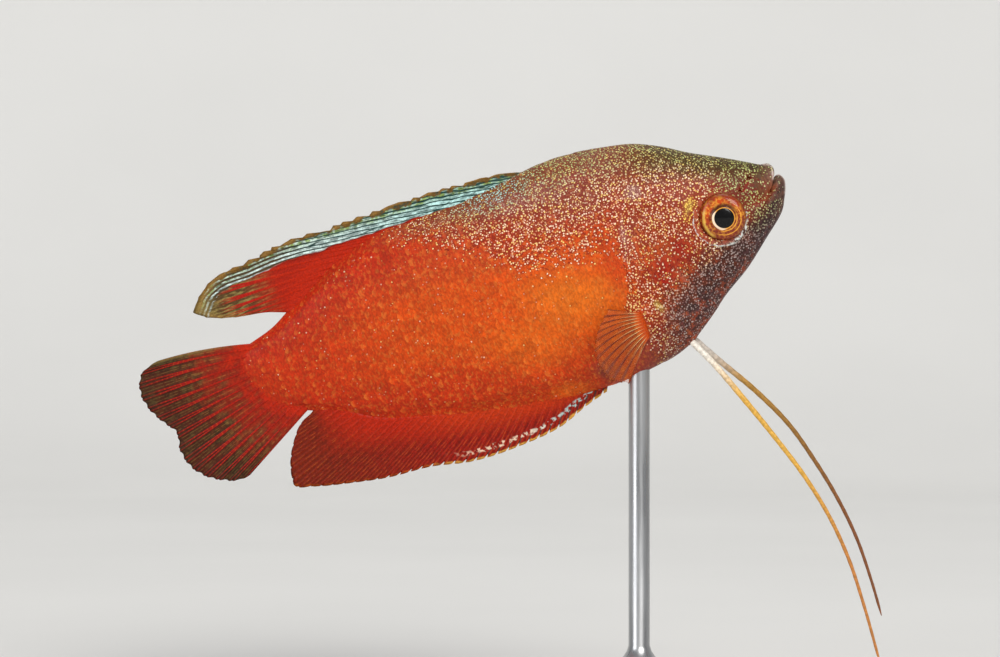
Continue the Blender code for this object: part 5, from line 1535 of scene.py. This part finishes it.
class GOURAMI_OT_stand(bpy.types.Operator):
    """Builds the oval base with rounded edges and the rod with its turned foot"""

    bl_idname = "gourami.stand"
    bl_label = "Stand"

    def execute(self, context):
        lacquer, steel = stand_paints()
        low, high = (Vector(corner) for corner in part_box("stand_base"))
        bm = bmesh.new()
        bmesh.ops.create_cone(bm, cap_ends=True, segments=BASE_SIDES, radius1=0.5, radius2=0.5, depth=1.0)
        place = Matrix.Translation((low + high) / 2) @ Matrix.Diagonal((*(high - low), 1.0))
        bmesh.ops.transform(bm, matrix=place, verts=bm.verts)
        rims = [e for e in bm.edges if len(e.link_faces) == 2 and e.calc_face_angle() > math.radians(60)]
        bmesh.ops.bevel(bm, geom=rims, offset=0.7 * MM, segments=4, profile=0.5, affect="EDGES", material=-1)
        base = add_mesh(bm, "base_plate", lacquer, ("stand_base",))
        base.data.set_sharp_from_angle(angle=math.radians(50))

        low, high = (Vector(corner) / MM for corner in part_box("stand_rod"))
        radius = ROD_THICK / 2
        foot = low.z
        middle = (low + high) / 2
        profile = (
            (0.0, high.z + 0.8), (radius * 0.9, high.z + 0.8), (radius * 0.9, foot + 3.0),
            (radius * 1.05, foot + 2.4), (radius * 1.5, foot + 1.5), (radius * 2.2, foot + 1.1),
            (ROD_FOOT / 2 - 0.35, foot + ROD_FOOT_THICK * 0.75), (ROD_FOOT / 2 - 0.05, foot + ROD_FOOT_THICK * 0.5),
            (ROD_FOOT / 2, foot + 0.15), (ROD_FOOT / 2 - 0.1, foot), (0.0, foot),
        )
        bm = bmesh.new()
        verts = [bm.verts.new((r, 0.0, z)) for r, z in profile]
        for a, b in zip(verts, verts[1:]):
            bm.edges.new((a, b))
        bmesh.ops.spin(
            bm, geom=bm.verts[:] + bm.edges[:], axis=(0, 0, 1), cent=(0, 0, 0), angle=2 * math.pi,
            steps=ROD_SIDES, use_merge=True,
        )
        bmesh.ops.remove_doubles(bm, verts=bm.verts, dist=1e-4)
        place = Matrix.Scale(MM, 4) @ Matrix.Translation((middle.x, middle.y, 0.0))
        bmesh.ops.transform(bm, matrix=place, verts=bm.verts)
        bmesh.ops.recalc_face_normals(bm, faces=bm.faces)
        rod = add_mesh(bm, "rod", steel, ("stand_rod",))
        rod.data.set_sharp_from_angle(angle=math.radians(40))
        return {"FINISHED"}


FOCAL_LENGTH = 120.0
SENSOR = 36.0
VIEW_WIDTH = 110.0
VIEW_CENTRE = (-31.35, -15.24)
FLOOR_FRONT = 0.6
FLOOR_BACK = 0.5
FLOOR_SIDE = 1.2
WALL_HEIGHT = 0.9
WALL_BEND = 0.35


def floor_paint():
    """Pale grey paper with the faintest mottling."""
    c = colours()
    paint = Paint("studio_floor", roughness=0.85)
    place = paint.node("TexCoord").outputs["Object"]
    paint.base(paint.shade(c.floor, paint.between(paint.grain(place, 8.0, 3.0), 0.2, 0.8, 0.97, 1.02)))
    paint.bump(paint.grain(place, 400.0, 2.0), 0.05, 0.1)
    return paint.material


def add_light(name, place, target, size, watts, tint):
    data = bpy.data.lights.new(name, "AREA")
    data.shape = "RECTANGLE"
    data.size, data.size_y = size
    data.energy = watts
    data.color = tint
    light = bpy.data.objects.new(name, data)
    light.location = place
    light.rotation_euler = (Vector(target) - Vector(place)).to_track_quat("-Z", "Y").to_euler()
    bpy.context.scene.collection.objects.link(light)


class GOURAMI_OT_stage(bpy.types.Operator):
    """Sets the floor that bends up into a backdrop, the soft lights and the camera"""

    bl_idname = "gourami.stage"
    bl_label = "Stage"

    def execute(self, context):
        scene = context.scene
        bm = bmesh.new()
        bmesh.ops.create_grid(bm, x_segments=2, y_segments=60, size=1.0)
        quarter = WALL_BEND * math.pi / 2
        whole = FLOOR_FRONT + FLOOR_BACK + quarter + WALL_HEIGHT
        for v in bm.verts:
            gone = (v.co.y + 1) / 2 * whole - FLOOR_FRONT
            turn = min(max(gone - FLOOR_BACK, 0.0), quarter) / WALL_BEND
            past = max(gone - FLOOR_BACK - quarter, 0.0)
            y = min(gone, FLOOR_BACK) + WALL_BEND * math.sin(turn)
            v.co = (v.co.x * FLOOR_SIDE, y, WALL_BEND * (1 - math.cos(turn)) + past)
        mesh = bpy.data.meshes.new("floor")
        bm.to_mesh(mesh)
        bm.free()
        mesh.shade_smooth()
        mesh.materials.append(floor_paint())
        floor = bpy.data.objects.new("floor", mesh)
        scene.collection.objects.link(floor)

        middle = (SNOUT.x + VIEW_CENTRE[0] * MM, 0.0, SNOUT.z + VIEW_CENTRE[1] * MM)
        add_light("key", (0.5, -1.35, 0.95), middle, (0.9, 0.7), 19.0, (1.0, 0.98, 0.95))
        add_light("fill", (-1.3, -1.1, 0.45), middle, (0.9, 0.8), 8.0, (0.97, 0.98, 1.0))
        add_light("top", (-0.05, 0.3, 1.4), middle, (0.9, 0.7), 5.0, (1.0, 1.0, 1.0))

        world = bpy.data.worlds.new("studio")
        world.use_nodes = True
        background = world.node_tree.nodes["Background"]
        background.inputs["Color"].default_value = (0.95, 0.97, 1.0, 1.0)
        background.inputs["Strength"].default_value = 0.36
        scene.world = world

        data = bpy.data.cameras.new("camera")
        data.lens = FOCAL_LENGTH
        data.sensor_width = SENSOR
        data.clip_start = 0.01
        camera = bpy.data.objects.new("camera", data)
        distance = VIEW_WIDTH * MM * FOCAL_LENGTH / SENSOR
        camera.location = (middle[0], -distance, middle[2])
        camera.rotation_euler = (math.pi / 2, 0.0, 0.0)
        scene.collection.objects.link(camera)
        scene.camera = camera
        scene.view_settings.view_transform = "Standard"
        return {"FINISHED"}


class GOURAMI_PT_model(bpy.types.Panel):
    """Lists the colours, the sizes and the pieces in the order in which they are made"""

    bl_idname = "GOURAMI_PT_model"
    bl_label = "Dwarf gourami"
    bl_space_type = "VIEW_3D"
    bl_region_type = "UI"
    bl_category = "Gourami"

    def draw(self, context):
        for group in (context.scene.gourami_sizes, context.scene.gourami_colours):
            box = self.layout.box()
            for name in group.__annotations__:
                box.prop(group, name)
        for operator in OPERATORS:
            self.layout.operator(operator.bl_idname)


OPERATORS = (
    GOURAMI_OT_skin,
    GOURAMI_OT_scales,
    GOURAMI_OT_eyes,
    GOURAMI_OT_dorsal_fin,
    GOURAMI_OT_anal_fin,
    GOURAMI_OT_tail_fin,
    GOURAMI_OT_pectoral_fins,
    GOURAMI_OT_feelers,
    GOURAMI_OT_stand,
    GOURAMI_OT_stage,
)
CLASSES = (GouramiColours, GouramiSizes, *OPERATORS, GOURAMI_PT_model)


def register():
    for made in CLASSES:
        bpy.utils.register_class(made)
    bpy.types.Scene.gourami_colours = bpy.props.PointerProperty(type=GouramiColours)
    bpy.types.Scene.gourami_sizes = bpy.props.PointerProperty(type=GouramiSizes)


def unregister():
    del bpy.types.Scene.gourami_sizes
    del bpy.types.Scene.gourami_colours
    for made in reversed(CLASSES):
        bpy.utils.unregister_class(made)


def main():
    register()
    bpy.ops.gourami.skin()
    bpy.ops.gourami.scales()
    bpy.ops.gourami.eyes()
    bpy.ops.gourami.dorsal_fin()
    bpy.ops.gourami.anal_fin()
    bpy.ops.gourami.tail_fin()
    bpy.ops.gourami.pectoral_fins()
    bpy.ops.gourami.feelers()
    bpy.ops.gourami.stand()
    bpy.ops.gourami.stage()


if __name__ == "__main__":
    main()
